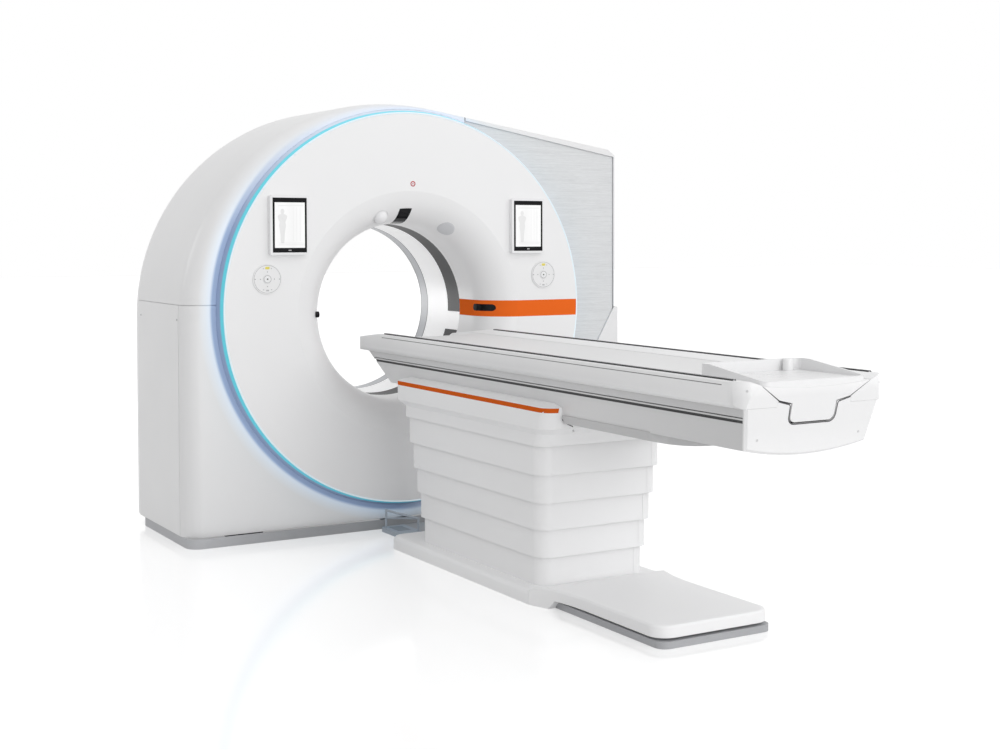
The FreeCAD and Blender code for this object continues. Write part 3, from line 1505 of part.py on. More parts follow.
def foot_step():
    """Step over the floor plate's foot end. It flows out of the base cover and stands clear of the floor."""
    wires = [step_wire(0.0, 0.0)]
    for step in range(edge_steps + 1):
        turn = math.pi / 2 * step / edge_steps
        wires.append(step_wire(step_edge_round * (1 - math.cos(turn)),
                               step_top_z - step_edge_round * (1 - math.sin(turn))))
    whole = Part.makeLoft(wires, True, True)
    ramp_y = step_front_y - step_ramp_length
    ramp = prism_x([(step_front_y + 1, base_top_z), (ramp_y, step_top_z), (ramp_y, step_top_z + 9),
                    (step_front_y + 1, step_top_z + 9)], -far, far)
    clear = prism_x([(step_lift_y, -1), (step_lift_y - step_bottom_z, step_bottom_z),
                     (step_foot_y - 9, step_bottom_z), (step_foot_y - 9, -1)], -far, far)
    hollow_half = floor_plate_half + fit_gap
    hollow = box(-hollow_half, hollow_half, step_lift_y - 2 * step_bottom_z, step_front_y + 1, -1,
                 step_bottom_z + fit_gap)
    feet = [box(x - step_pad, x + step_pad, y - step_pad, y + step_pad, floor_plate_thickness,
                step_bottom_z + 1)
            for x in (-step_pad_x, step_pad_x) for y in (step_foot_y + 2 * step_corner, step_lift_y - 40)]
    return whole.cut([ramp, clear, hollow]).fuse(feet).removeSplitter()



switch_right_x = -link_half - fit_gap
switch_left_x = switch_right_x - switch_width
pin_y = switch_back_y - 34
pin_z = switch_height - tread_recess + tread_thickness / 2
tread_middle_x = (switch_left_x + switch_right_x) / 2


def rod(start, end, radius):
    run = end - start
    return Part.makeCylinder(radius, run.Length, start, run)


def pedal_guard():
    """Foot switch base on the floor, with a recess for the tread and a bent hoop over it."""
    base = box(switch_left_x, switch_right_x, switch_front_y, switch_back_y, 0, switch_height)
    base = base.makeFillet(switch_corner, upright_edges(base, lambda p: p.x < tread_middle_x))
    half = tread_width / 2 + 1
    recess = box(tread_middle_x - half, tread_middle_x + half, pin_y - tread_length - 2, pin_y + 10,
                 switch_height - tread_recess - 2, switch_height + 1)
    bore = cylinder_x(pin_radius + shaft_slack, tread_middle_x - half - 6, tread_middle_x + half + 6,
                      pin_y, pin_z)
    back = (switch_left_x + guard_edge, switch_back_y - guard_edge)
    front = (switch_right_x - guard_edge / 2, switch_front_y + guard_edge)
    foot_z = switch_height - 6
    body = base.cut(recess).cut(bore)
    for a, b, radius in ((V(*back, foot_z), V(*back, guard_back_z), guard_radius),
                         (V(*front, foot_z), V(*front, guard_front_z), guard_radius),
                         (V(*back, guard_back_z - guard_radius), V(*front, guard_front_z - guard_radius),
                          guard_radius),
                         (V(*back, guard_low_z), V(*front, guard_front_z - guard_radius), guard_radius * 0.8)):
        body = body.fuse(rod(a, b, radius))
    return body


def foot_pedal():
    """Rocking tread on its cross pin."""
    half = tread_width / 2
    z0 = pin_z - tread_thickness / 2
    tread = box(tread_middle_x - half, tread_middle_x + half, pin_y - tread_length, pin_y,
                z0 + tread_rise, z0 + tread_rise + tread_thickness)
    tread = tread.makeFillet(8.0, upright_edges(tread, lambda p: p.y < pin_y - 10))
    hub = cylinder_x(tread_thickness / 2 + 1, tread_middle_x - half, tread_middle_x + half, pin_y, pin_z)
    pin = cylinder_x(pin_radius, tread_middle_x - half - 5, tread_middle_x + half + 5, pin_y, pin_z)
    return tread.fuse([hub, pin]).removeSplitter()


# ---------------------------------------------------------------- the pieces


def build():
    tray, tray_end_y = foot_tray()
    pieces = {
        "gantry_plinth": gantry_plinth(),
        "gantry_base_frame": gantry_base_frame(),
        "stator_frame": stator_frame(),
        "drive_coils": drive_coils(),
        "bearing_outer_race": bearing_outer_race(),
        "bearing_roller_cage": bearing_roller_cage(),
        "bearing_inner_race": bearing_inner_race(),
        "rotor_drum": rotor_drum(),
        "xray_tube": xray_tube(),
        "detector_arc": detector_arc(),
        "voltage_generator": voltage_generator(),
        "cooling_unit": cooling_unit(),
        "slip_ring": slip_ring(),
        "brush_block": brush_block(),
        "front_cover": front_cover,
        "orange_band": orange_band,
        "bore_windows": Part.makeCompound([slot_glass, display_glass, side_knob()]),
        "laser_dome": laser_dome(),
        "scan_window_ring": scan_window_ring(),
        "bore_tunnel": bore_tunnel(),
        "light_ring": light_ring(),
        "upper_cover": upper_cover(),
        "left_side_door": left_side_door(),
        "front_corner_cover": front_corner_cover(),
        "right_upper_cover": right_upper_cover(),
        "right_lower_cover": right_lower_cover(),
        "fabric_panel": fabric_panel(),
        "rear_cover": rear_cover(),
        "tablet_cases": Part.makeCompound([tablet_case(-tablet_x), tablet_case(tablet_x)]),
        "tablet_screens": Part.makeCompound([tablet_glass_tool(-tablet_x, fit_gap),
                                             tablet_glass_tool(tablet_x, fit_gap)]),
        "control_pads": Part.makeCompound([control_pad(-pad_x), control_pad(pad_x)]),
        "pad_button_left": pad_button(-pad_x),
        "pad_button_right": pad_button(pad_x),
        "table_base_plate": table_base_plate(),
        "table_base_cover": table_base_cover(),
        "foot_step": foot_step(),
        "column_middle_tubes": column_middle_tubes(),
        "carriage_frame": carriage_frame(),
        "carriage_body": carriage_body(),
        "end_panel": end_panel(),
        "underside_cover": underside_cover(),
        "wing_covers": Part.makeCompound([wing(-1), wing(1)]),
        "side_rails": Part.makeCompound([side_rail(), mirrored(side_rail())]),
        "collar": collar(),
        "orange_stripe": orange_stripe(),
        "slide_motor": slide_motor(),
        "slide_drive_pulley": pulley(motor_pulley_y, motor_x1 - 22, belt_x + belt_width / 2 + 3),
        "slide_idler_pulley": pulley(idler_pulley_y, belt_x - belt_width / 2 - 3,
                                     belt_x + belt_width / 2 + 24),
        "slide_belt": slide_belt(),
        "cradle": cradle(),
        "cradle_handle": cradle_handle(),
        "cradle_sled": cradle_sled(),
        "foot_tray": Part.makeCompound([tray, tray_knob(tray_end_y)]),
        "pedal_guard": pedal_guard(),
        "foot_pedal": foot_pedal(),
    }
    for index in range(tier_count):
        pieces["shroud_tier_%d" % (index + 1)] = tier(index)
    return pieces


def main():
    os.makedirs("parts", exist_ok=True)
    for name, shape in build().items():
        if not shape.isValid():
            print("not valid:", name)
        shape.exportStep("parts/%s.step" % name)
        print(name, len(shape.Solids), round(shape.Volume / 1e6, 3), "litres")


main()
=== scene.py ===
import math

import bmesh
import bpy
from mathutils import Matrix, Vector


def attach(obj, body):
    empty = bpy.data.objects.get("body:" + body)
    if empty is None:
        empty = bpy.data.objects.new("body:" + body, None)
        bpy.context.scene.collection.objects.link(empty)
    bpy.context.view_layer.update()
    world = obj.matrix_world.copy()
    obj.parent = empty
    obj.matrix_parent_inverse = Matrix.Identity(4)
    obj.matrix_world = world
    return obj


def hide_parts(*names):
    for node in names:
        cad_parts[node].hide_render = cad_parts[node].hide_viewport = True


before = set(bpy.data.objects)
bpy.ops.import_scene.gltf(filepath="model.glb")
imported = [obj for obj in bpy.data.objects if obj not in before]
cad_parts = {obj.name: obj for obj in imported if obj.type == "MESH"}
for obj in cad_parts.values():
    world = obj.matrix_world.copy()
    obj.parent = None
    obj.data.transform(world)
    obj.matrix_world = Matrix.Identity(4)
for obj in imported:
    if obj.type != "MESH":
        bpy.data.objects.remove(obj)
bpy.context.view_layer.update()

SIDES = ((-1, "left"), (1, "right"))      # sign of x, and word in names
BORE_Z = 0.995            # height of the bore's axis
DISC_Z = 1.017            # height of the round front cover's centre
FACE_Y = -0.400           # flat face of the front cover
BEND = 0.183              # radius of the bend of the mouth
BEND_AXIS = 0.593         # distance of that bend's centre from the bore's axis
LIP_Y = -0.220            # where the bend meets the straight lip
RING_RADIUS = 0.915       # just inside the outer edge of the lit ring
RING_FRONT_Y = -0.402     # front and back edge of its side
RING_BACK_Y = -0.345
SHELL_FRONT_Y = -0.350    # front of the covers beside the ring
HIGH_Z = (1.35, 1.85)     # between these heights the ring's glow fades, towards the top
ROOF_SEAM_X = (0.3005, 0.3055)
TUNNEL_RIM_SHADE_Y = (0.262, 0.360)     # painted shade: grey rim at the back of the bore
GLASS_Y = -0.426          # glass of the tablets
PAD_Y = -0.405            # face of the control pads
BUTTON_Y = -0.407         # face of their centre buttons
TABLET_X = 0.605          # middle of a tablet
TABLET_Z = 1.396
PAD_X = 0.702             # middle of a control pad
PAD_Z = 1.160
SIDE_X = -1.055           # left side of the gantry
RIGHT_X = 1.180           # right side of its lower cover
FOOT_Y = -3.207           # foot end of the table, at the height of its top
FOOT_RAKE = 0.25          # how far the foot end draws in below, for each unit of height
TOP_Z = 0.921             # top of the table's wings
GROOVE_SHADE_Z = (0.7930, 0.8022)       # painted shade: dark strip in the groove of the table's sides
RAIL_SHOULDER_SHADES = ((0.2640, 0.2686), (0.2754, 0.2800))     # painted shade on the rail's shoulders, from the table's middle
CHANNEL_SHADE_X = (0.2608, 0.2834)       # painted shade on the strip of the wing round each rail, from the same middle
CHANNEL_SHADE_Y = (-3.142, -0.685)
CHANNEL_SHADE_Z = (0.9050, 0.9204)
WING_EDGE_X = (0.286, 0.300)      # dark line along the wing's outer edge
WING_EDGE_Y = (-3.10, -0.69)
WING_EDGE_Z = (0.9050, 0.9078)
PANEL_PADDING = 0.020     # how far the woven cloth stands in front of its board
SMOOTH_BELOW = math.radians(32.0)
CREASE_ABOVE = math.radians(12.5)
WELD = 0.00002            # corners nearer than this are one
SKIN_LOW = -0.0001        # foot and top of a mark, from the surface that it lies on
SKIN_HIGH = 0.0004
LINE_LOW = -0.0003        # the same for the foot of a long line
FIGURE_LOW = 0.0002       # drawings on the lit page of a screen
FIGURE_HIGH = 0.00045
WHITE = (1.0, 1.0, 1.0, 1.0)


# ------------------------------------------------------------------ node material helpers


class Nodes:
    """A material under construction: short calls that add and link nodes."""

    def __init__(self, name):
        self.material = bpy.data.materials.new(name)
        self.material.use_nodes = True
        self.tree = self.material.node_tree
        self.shader = self.tree.nodes["Principled BSDF"]
        self.place = self.add("ShaderNodeTexCoord").outputs["Object"]

    def add(self, kind, **settings):
        """A new node, with its settings."""
        node = self.tree.nodes.new(kind)
        for key, value in settings.items():
            setattr(node, key, value)
        return node

    def link(self, source, target):
        self.tree.links.new(source, target)

    def set(self, **values):
        """Plain values on the shader; an underscore stands for a space."""
        for key, value in values.items():
            self.shader.inputs[key.replace("_", " ")].default_value = value

    def scaled(self, scale):
        """The place on the object, stretched along its axes."""
        node = self.add("ShaderNodeMapping")
        node.inputs["Scale"].default_value = scale
        self.link(self.place, node.inputs["Vector"])
        return node.outputs["Vector"]

    def noise(self, scale, detail=2.0, stretch=None, rough=0.5):
        node = self.add("ShaderNodeTexNoise")
        node.inputs["Scale"].default_value = scale
        node.inputs["Detail"].default_value = detail
        node.inputs["Roughness"].default_value = rough
        self.link(self.scaled(stretch) if stretch else self.place, node.inputs["Vector"])
        return node.outputs["Fac"]

    def wave(self, scale, direction="X", stretch=None, distortion=0.0, profile="SIN"):
        node = self.add("ShaderNodeTexWave", bands_direction=direction, wave_profile=profile)
        node.inputs["Scale"].default_value = scale
        node.inputs["Distortion"].default_value = distortion
        self.link(self.scaled(stretch) if stretch else self.place, node.inputs["Vector"])
        return node.outputs["Fac"]

    def math(self, operation, first, second=0.0, clamp=False):
        node = self.add("ShaderNodeMath", operation=operation, use_clamp=clamp)
        for socket, value in zip(node.inputs, (first, second)):
            if isinstance(value, (int, float)):
                socket.default_value = value
            else:
                self.link(value, socket)
        return node.outputs[0]

    def spread(self, value, low, high, start=0.0, end=1.0):
        """value between start and end, mapped to between low and high."""
        node = self.add("ShaderNodeMapRange")
        for key, number in (("From Min", start), ("From Max", end), ("To Min", low), ("To Max", high)):
            node.inputs[key].default_value = number
        self.link(value, node.inputs["Value"])
        return node.outputs["Result"]

    def mix(self, share, first, second):
        """The first colour where the share is 0, the second where it is 1."""
        node = self.add("ShaderNodeMix", data_type="RGBA")
        self.link(share, node.inputs["Factor"])
        for socket, value in ((node.inputs["A"], first), (node.inputs["B"], second)):
            if isinstance(value, (tuple, list)):
                socket.default_value = tuple(value) + (1.0,) * (4 - len(value))
            else:
                self.link(value, socket)
        return node.outputs["Result"]

    def ramp(self, value, stops):
        """Colours given as display levels, by their place between 0 and 1."""
        node = self.add("ShaderNodeValToRGB")
        elements = node.color_ramp.elements
        while len(elements) < len(stops):
            elements.new(0.5)
        for element, (spot, colour) in zip(elements, stops):
            element.position = spot
            element.color = rgb(*colour) + (1.0,)
        self.link(value, node.inputs["Fac"])
        return node.outputs["Color"]

    def between(self, value, low, high, soft=0.0004):
        """1 where the value lies between two limits, 0 outside, with a short soft edge."""
        up = self.spread(value, 0.0, 1.0, low - soft, low + soft)
        down = self.spread(value, 1.0, 0.0, high - soft, high + soft)
        return self.math("MULTIPLY", up, down)

    def cover(self, mask, colour):
        """Lays another colour over the present one where the mask is 1."""
        plain = self.shader.inputs["Base Color"].links[0].from_socket
        self.base(self.mix(mask, plain, colour))

    def axes(self):
        """The place on the object, as three numbers."""
        node = self.add("ShaderNodeSeparateXYZ")
        self.link(self.place, node.inputs[0])
        return node.outputs[0], node.outputs[1], node.outputs[2]

    def bump(self, height, strength, distance, normal=None):
        """A normal with fine relief, over another normal where one is given."""
        node = self.add("ShaderNodeBump")
        node.inputs["Strength"].default_value = strength
        node.inputs["Distance"].default_value = distance
        self.link(height, node.inputs["Height"])
        if normal is not None:
            self.link(normal, node.inputs["Normal"])
        return node.outputs["Normal"]

    def base(self, colour):
        self.link(colour, self.shader.inputs["Base Color"])

    def roughness(self, value):
        self.link(value, self.shader.inputs["Roughness"])

    def normal(self, value):
        self.link(value, self.shader.inputs["Normal"])

    def halves(self, first, second):
        """The mean of two values."""
        return self.math("ADD", self.math("MULTIPLY", first, 0.5), self.math("MULTIPLY", second, 0.5))

    def softened(self, radius):
        """A normal that rounds the edges of the shape."""
        node = self.add("ShaderNodeBevel", samples=4)
        node.inputs["Radius"].default_value = radius
        return node.outputs["Normal"]

    def emission_colour(self, colour):
        self.shader.inputs["Emission Color"].default_value = colour


def shade(colour, factor):
    """A colour made darker or lighter."""
    return tuple(min(1.0, c * factor) for c in colour)


def linear(level):
    """A display level from 0 to 255 as a linear value."""
    share = level / 255.0
    return share / 12.92 if share <= 0.04045 else ((share + 0.055) / 1.055) ** 2.4


def rgb(red, green, blue):
    """A colour given as display levels."""
    return (linear(red), linear(green), linear(blue))


def plastic(name, colour, rough=0.35, grain=900.0, depth=0.00004, spread=0.02, edge=0.0012):
    """Moulded or painted plastic: a slight cloud in the colour, a fine grain, softened edges."""
    n = Nodes(name)
    cloud = n.noise(1.7, 3.0)
    n.base(n.mix(cloud, shade(colour, 1.0 - spread), shade(colour, 1.0 + spread)))
    fine = n.noise(grain, 2.0)
    patch = n.noise(6.0, 4.0)
    n.roughness(n.spread(n.halves(fine, patch), rough - 0.05, rough + 0.06, 0.3, 0.7))
    n.normal(n.bump(fine, 0.35, depth, n.softened(edge) if edge else None))
    n.set(IOR=1.46)
    return n


def metal(name, colour, rough=0.35, brush=(3.0, 3.0, 900.0), paint=False):
    """Brushed, machined or painted metal: fine lines along the brushing, blotches in the gloss."""
    n = Nodes(name)
    lines = n.noise(1.0, 3.0, stretch=brush)
    blotch = n.noise(9.0, 4.0)
    n.base(n.mix(lines, shade(colour, 0.88), shade(colour, 1.08)))
    n.roughness(n.spread(n.halves(lines, blotch), rough - 0.09, rough + 0.09, 0.3, 0.7))
    n.normal(n.bump(lines, 0.4, 0.00003, n.softened(0.0008)))
    n.set(Metallic=0.0 if paint else 1.0)
    return n


# ------------------------------------------------------------------ finishes of the CAD nodes


def halo_shell(name, colour):
    """The outer covers: satin white, with the ring's glow painted beside it and the seam of the roof."""
    n = plastic(name, colour, rough=0.38, grain=1400.0)
    x, y, z = n.axes()
    rise = n.math("SUBTRACT", z, DISC_Z)
    radius = n.math("SQRT", n.math("ADD", n.math("MULTIPLY", x, x), n.math("MULTIPLY", rise, rise)))
    # painted glow of the lit ring: a pale blue edge all round it
    near = n.spread(radius, 1.0, 0.0, RING_RADIUS, RING_RADIUS + 0.050)
    front = n.spread(y, 1.0, 0.0, SHELL_FRONT_Y, SHELL_FRONT_Y + 0.060)
    glow = n.math("MULTIPLY", n.math("POWER", near, 1.5), front)
    n.cover(n.math("MULTIPLY", glow, 0.8), rgb(228, 238, 255))
    # painted ring light on the left, less towards the top: a darker bluish line, and a faint glow given off
    # outside it
    left = n.math("MULTIPLY", n.spread(x, 1.0, 0.0, -0.05, 0.25), front)
    left = n.math("MULTIPLY", left, n.spread(z, 1.0, 0.0, *HIGH_Z))
    line = n.spread(radius, 1.0, 0.0, RING_RADIUS + 0.019, RING_RADIUS + 0.031)
    n.cover(n.math("MULTIPLY", line, left), rgb(160, 180, 214))
    n.emission_colour((0.30, 0.60, 1.0, 1.0))
    painted_shine = n.math("MULTIPLY", n.spread(radius, 0.0, 1.0, RING_RADIUS + 0.015, RING_RADIUS + 0.035),
                   n.spread(radius, 1.0, 0.0, RING_RADIUS + 0.035, RING_RADIUS + 0.080))
    strength = n.math("MULTIPLY", n.math("MULTIPLY", painted_shine, left), 0.15)
    n.link(strength, n.shader.inputs["Emission Strength"])
    # the seam on the front part of the roof
    seam = n.math("MULTIPLY", n.between(x, *ROOF_SEAM_X), n.spread(z, 0.0, 1.0, 1.70, 1.71))
    n.cover(n.math("MULTIPLY", seam, n.spread(y, 1.0, 0.0, 0.10, 0.12)), (0.2, 0.2, 0.21))
    return n


def woven(name, colour):
    """Woven cover panel: short horizontal threads of light and darker grey over a fine cross weave."""
    n = Nodes(name)
    threads = n.noise(1.0, 4.0, stretch=(26.0, 26.0, 620.0), rough=0.7)
    broad = n.noise(1.0, 3.0, stretch=(7.0, 7.0, 150.0))
    cross = n.wave(210.0, direction="X", distortion=1.2)
    lines = n.wave(260.0, direction="Z", distortion=0.8)
    tone = n.math("ADD", n.math("MULTIPLY", threads, 0.62), n.math("MULTIPLY", broad, 0.38))
    n.base(n.mix(n.spread(tone, 0.0, 1.0, 0.36, 0.64), shade(colour, 0.91), shade(colour, 1.08)))
    height = n.math("ADD", n.math("MULTIPLY", threads, 0.7),
                    n.math("ADD", n.math("MULTIPLY", cross, 0.18), n.math("MULTIPLY", lines, 0.3)))
    n.normal(n.bump(height, 0.5, 0.0006))
    n.set(Roughness=0.78, Sheen_Weight=0.15)
    return n


def ring_light(name):
    """Lit ring: a pale front edge, a cyan line behind it, and a dim side, paler high up."""
    n = Nodes(name)
    _, y, z = n.axes()
    along = n.spread(y, 0.0, 1.0, RING_FRONT_Y, RING_BACK_Y)
    lit = ((0.0, (150, 160, 164)), (0.045, (150, 160, 164)), (0.07, (30, 156, 172)), (0.40, (40, 156, 172)),
           (0.50, (20, 24, 34)), (1.0, (34, 38, 48)))
    body = ((0.0, (226, 238, 244)), (0.045, (226, 238, 244)), (0.07, (96, 208, 220)), (0.40, (100, 208, 222)),
            (0.50, (158, 180, 212)), (1.0, (170, 190, 220)))
    high = n.math("MULTIPLY", n.spread(along, 0.0, 1.0, 0.42, 0.50), n.spread(z, 0.0, 1.0, *HIGH_Z))
    glow = n.ramp(along, lit)
    soft = n.noise(3.0, 2.0)
    n.base(n.mix(n.spread(soft, 0.0, 0.10), n.ramp(along, body), (0.6, 0.55, 0.9)))
    n.cover(high, rgb(226, 236, 250))
    n.link(glow, n.shader.inputs["Emission Color"])
    n.set(Emission_Strength=0.42, Roughness=0.3)
    return n


def speckled(name, colour, rough=0.6, scale=700.0):
    """Matt textured plastic or rubber."""
    n = Nodes(name)
    dots = n.noise(scale, 3.0, rough=0.7)
    broad = n.noise(4.0, 3.0)
    tone = n.math("ADD", n.math("MULTIPLY", dots, 0.6), n.math("MULTIPLY", broad, 0.4))
    n.base(n.mix(n.spread(tone, 0.0, 1.0, 0.3, 0.7), shade(colour, 0.90), shade(colour, 1.10)))
    n.normal(n.bump(dots, 0.5, 0.0002))
    n.roughness(n.spread(dots, rough - 0.08, rough + 0.08))
    return n


def plinth(name):
    """Matt grey skirt, with painted light that makes it a little lighter at the left corner."""
    n = speckled(name, rgb(160, 161, 164))
    x = n.axes()[0]
    # painted light: lighter towards the left corner
    n.cover(n.spread(x, 1.0, 0.0, -1.05, -0.60), rgb(188, 189, 192))
    return n


def glass_black(name):
    """Black glass with faint smears in its gloss."""
    n = Nodes(name)
    smear = n.noise(14.0, 5.0, stretch=(1.0, 1.0, 0.4))
    n.base(n.mix(smear, (0.004, 0.004, 0.005), (0.010, 0.010, 0.012)))
    n.roughness(n.spread(smear, 0.10, 0.20, 0.3, 0.7))
    n.set(IOR=1.35, Specular_IOR_Level=0.25)
    return n


def winding(name):
    """Enamelled copper wire laid round and round."""
    n = Nodes(name)
    wire = n.wave(240.0, direction="Y")
    n.base(n.mix(wire, (0.20, 0.075, 0.03), (0.62, 0.29, 0.13)))
    n.normal(n.bump(wire, 0.8, 0.0008))
    n.set(Metallic=0.8, Roughness=0.34)
    return n


def ribbed(name, colour):
    """Ribbed rubber tread."""
    n = Nodes(name)
    ribs = n.wave(70.0, direction="Y", profile="SAW")
    dots = n.noise(900.0, 2.0)
    n.base(n.mix(dots, shade(colour, 0.85), shade(colour, 1.12)))
    n.normal(n.bump(n.math("ADD", n.math("MULTIPLY", ribs, 0.8), n.math("MULTIPLY", dots, 0.2)), 0.6, 0.0012))
    n.roughness(n.spread(dots, 0.55, 0.75))
    return n


def grooved_rail(name, colour):
    """Drawn metal rail: long fine drawing lines, and painted shade on the shoulders beside its middle."""
    n = metal(name, colour, rough=0.36, brush=(700.0, 2.0, 700.0))
    side = n.math("ABSOLUTE", n.axes()[0])
    # painted shade on each shoulder of the rail
    for low, high in RAIL_SHOULDER_SHADES:
        n.cover(n.between(side, low, high), (0.06, 0.06, 0.062))
    return n


def housing(name, colour):
    """Lower housing of the table, with painted shade: darker high up under the wings and towards the foot,
    and dark in its groove.
    """
    n = plastic(name, colour, rough=0.4)
    _, y, z = n.axes()
    # painted shade under the wing, darker towards the top
    n.cover(n.spread(z, 0.0, 0.55, 0.775, 0.838), shade(colour, 0.72))
    # painted shade, darker towards the foot end
    n.cover(n.spread(y, 0.45, 0.0, -3.1, -2.3), shade(colour, 0.72))
    # painted shade in the groove
    n.cover(n.between(z, *GROOVE_SHADE_Z), (0.02, 0.02, 0.021))
    return n


def wing(name, colour):
    """Side wings of the table: painted highlights near the foot and the top, painted shade beside the rails.
    """
    n = plastic(name, colour, rough=0.34)
    x, y, z = n.axes()
    side = n.math("ABSOLUTE", x)
    channel_shade = n.math("MULTIPLY", n.between(side, *CHANNEL_SHADE_X), n.between(z, *CHANNEL_SHADE_Z))
    # painted highlight, paler towards the foot end
    foot = n.math("MULTIPLY", n.spread(y, 1.0, 0.0, -3.0, -1.9), n.spread(y, 0.0, 1.0, -3.17, -3.12))
    n.cover(foot, (0.88, 0.88, 0.885))
    # painted highlight, paler towards the top
    n.cover(n.spread(z, 0.0, 0.7, 0.870, 0.910), (0.90, 0.90, 0.905))
    # painted shade in the channel beside each rail
    n.cover(n.math("MULTIPLY", channel_shade, n.between(y, *CHANNEL_SHADE_Y)), (0.10, 0.10, 0.105))
    edge = n.math("MULTIPLY", n.between(z, *WING_EDGE_Z), n.between(side, *WING_EDGE_X))
    n.cover(n.math("MULTIPLY", edge, n.between(y, *WING_EDGE_Y)), (0.16, 0.16, 0.165))
    return n


def tunnel(name, colour):
    """White bore lining that gives off painted light, and painted shade on the grey rim at its back."""
    n = plastic(name, colour, rough=0.3)
    y = n.axes()[1]
    start, end = TUNNEL_RIM_SHADE_Y
    # painted shade on the rim, with darker lines at both its edges
    n.cover(n.between(y, start, end), rgb(196, 198, 202))
    n.cover(n.between(y, start - 0.002, start + 0.006), rgb(120, 122, 126))
    n.cover(n.between(y, end - 0.028, end), rgb(120, 122, 126))
    # painted light: the lining glows in front of the rim
    n.emission_colour(WHITE)
    inner = n.math("MULTIPLY", n.spread(y, 1.0, 0.0, start - 0.007, start), 0.16)
    n.link(inner, n.shader.inputs["Emission Strength"])
    return n


def orange(name, colour):
    """Saturated plastic without sheen, with painted shade that makes it darker on the table than on the
    gantry.
    """
    n = plastic(name, colour, rough=0.36, spread=0.03)
    n.set(Specular_IOR_Level=0.0)
    y = n.axes()[1]
    # painted shade on the table's stripe
    n.cover(n.spread(y, 1.0, 0.0, -0.8, -0.6), shade(colour, 0.78))
    return n


def lit_screen(name):
    """A switched-on display: white, with a faint grey shade on the half nearer the bore."""
    n = Nodes(name)
    side = n.math("SUBTRACT", n.math("ABSOLUTE", n.axes()[0]), TABLET_X)
    fine = n.noise(1800.0, 2.0)
    grey = n.math("MULTIPLY", n.between(side, -0.030, 0.004, 0.02), 0.5)
    tone = n.math("ADD", grey, n.math("MULTIPLY", fine, 0.1), clamp=True)
    n.base(n.mix(tone, (0.80, 0.80, 0.80), (0.70, 0.70, 0.70)))
    n.emission_colour(WHITE)
    n.roughness(n.spread(fine, 0.12, 0.2))
    n.set(Emission_Strength=0.22)
    return n


finishes = {
    "cover_white": plastic("cover_white", (0.87, 0.87, 0.875), rough=0.34, grain=1500.0),
    "shell_white": halo_shell("shell_white", (0.82, 0.82, 0.825)),
    "plinth_grey": plinth("plinth_grey"),
    "woven_panel": woven("woven_panel", (0.72, 0.73, 0.74)),
    "band_orange": orange("band_orange", rgb(238, 108, 40)),
    "dark_window": glass_black("dark_window"),
    "plate_grey": speckled("plate_grey", rgb(172, 173, 176), rough=0.5),
    "dome_white": plastic("dome_white", (0.84, 0.84, 0.85), rough=0.22),
    "window_ring": plastic("window_ring", rgb(32, 32, 35), rough=0.45, spread=0.04),
    "tunnel_white": tunnel("tunnel_white", (0.92, 0.92, 0.925)),
    "ring_light": ring_light("ring_light"),
    "tablet_white": plastic("tablet_white", (0.86, 0.86, 0.87), rough=0.28),
    "screen_glass": glass_black("screen_glass"),
    "pad_white": plastic("pad_white", (0.84, 0.84, 0.845), rough=0.34),
    "button_white": plastic("button_white", (0.86, 0.86, 0.865), rough=0.4),
    "frame_steel": metal("frame_steel", (0.16, 0.165, 0.175), rough=0.5, paint=True),
    "stator_paint": metal("stator_paint", (0.55, 0.56, 0.58), rough=0.42),
    "winding": winding("winding"),
    "bearing_steel": metal("bearing_steel", (0.68, 0.69, 0.71), rough=0.22),
    "rotor_aluminium": metal("rotor_aluminium", (0.66, 0.67, 0.69), rough=0.34),
    "tube_housing": metal("tube_housing", (0.60, 0.61, 0.63), rough=0.4, paint=True),
    "detector_case": metal("detector_case", (0.12, 0.125, 0.135), rough=0.42),
    "generator_case": metal("generator_case", (0.30, 0.32, 0.35), rough=0.4),
    "cooling_fins": metal("cooling_fins", (0.50, 0.51, 0.53), rough=0.38),
    "slip_ring_brass": metal("slip_ring_brass", (0.72, 0.52, 0.22), rough=0.25),
    "brush_plastic": speckled("brush_plastic", (0.03, 0.03, 0.032)),
    "base_white": plastic("base_white", (0.92, 0.92, 0.925), rough=0.4),
    "step_white": plastic("step_white", (0.91, 0.91, 0.915), rough=0.42, depth=0.00008),
    "column_steel": metal("column_steel", (0.36, 0.37, 0.39), rough=0.42, paint=True),
    "table_white": wing("table_white", (0.79, 0.79, 0.795)),
    # under_white and side_white are darker copies of the table's white: painted shade on the housing under
    # the wings
    "under_white": housing("under_white", (0.58, 0.58, 0.585)),
    "side_white": housing("side_white", (0.74, 0.74, 0.745)),
    "rail_metal": grooved_rail("rail_metal", (0.50, 0.505, 0.515)),
    "shroud_white": plastic("shroud_white", (0.89, 0.89, 0.895), rough=0.36),
    "motor_case": metal("motor_case", (0.09, 0.095, 0.105), rough=0.45, paint=True),
    "pulley_metal": metal("pulley_metal", (0.62, 0.63, 0.65), rough=0.3),
    "belt_rubber": ribbed("belt_rubber", (0.02, 0.02, 0.02)),
    "cradle_top": plastic("cradle_top", (0.76, 0.76, 0.762), rough=0.5, grain=700.0, depth=0.00008),
    "tray_white": plastic("tray_white", (0.80, 0.80, 0.805), rough=0.3),
    "guard_paint": metal("guard_paint", (0.42, 0.47, 0.53), rough=0.38, paint=True),
    "pedal_grey": ribbed("pedal_grey", (0.30, 0.34, 0.39)),
}


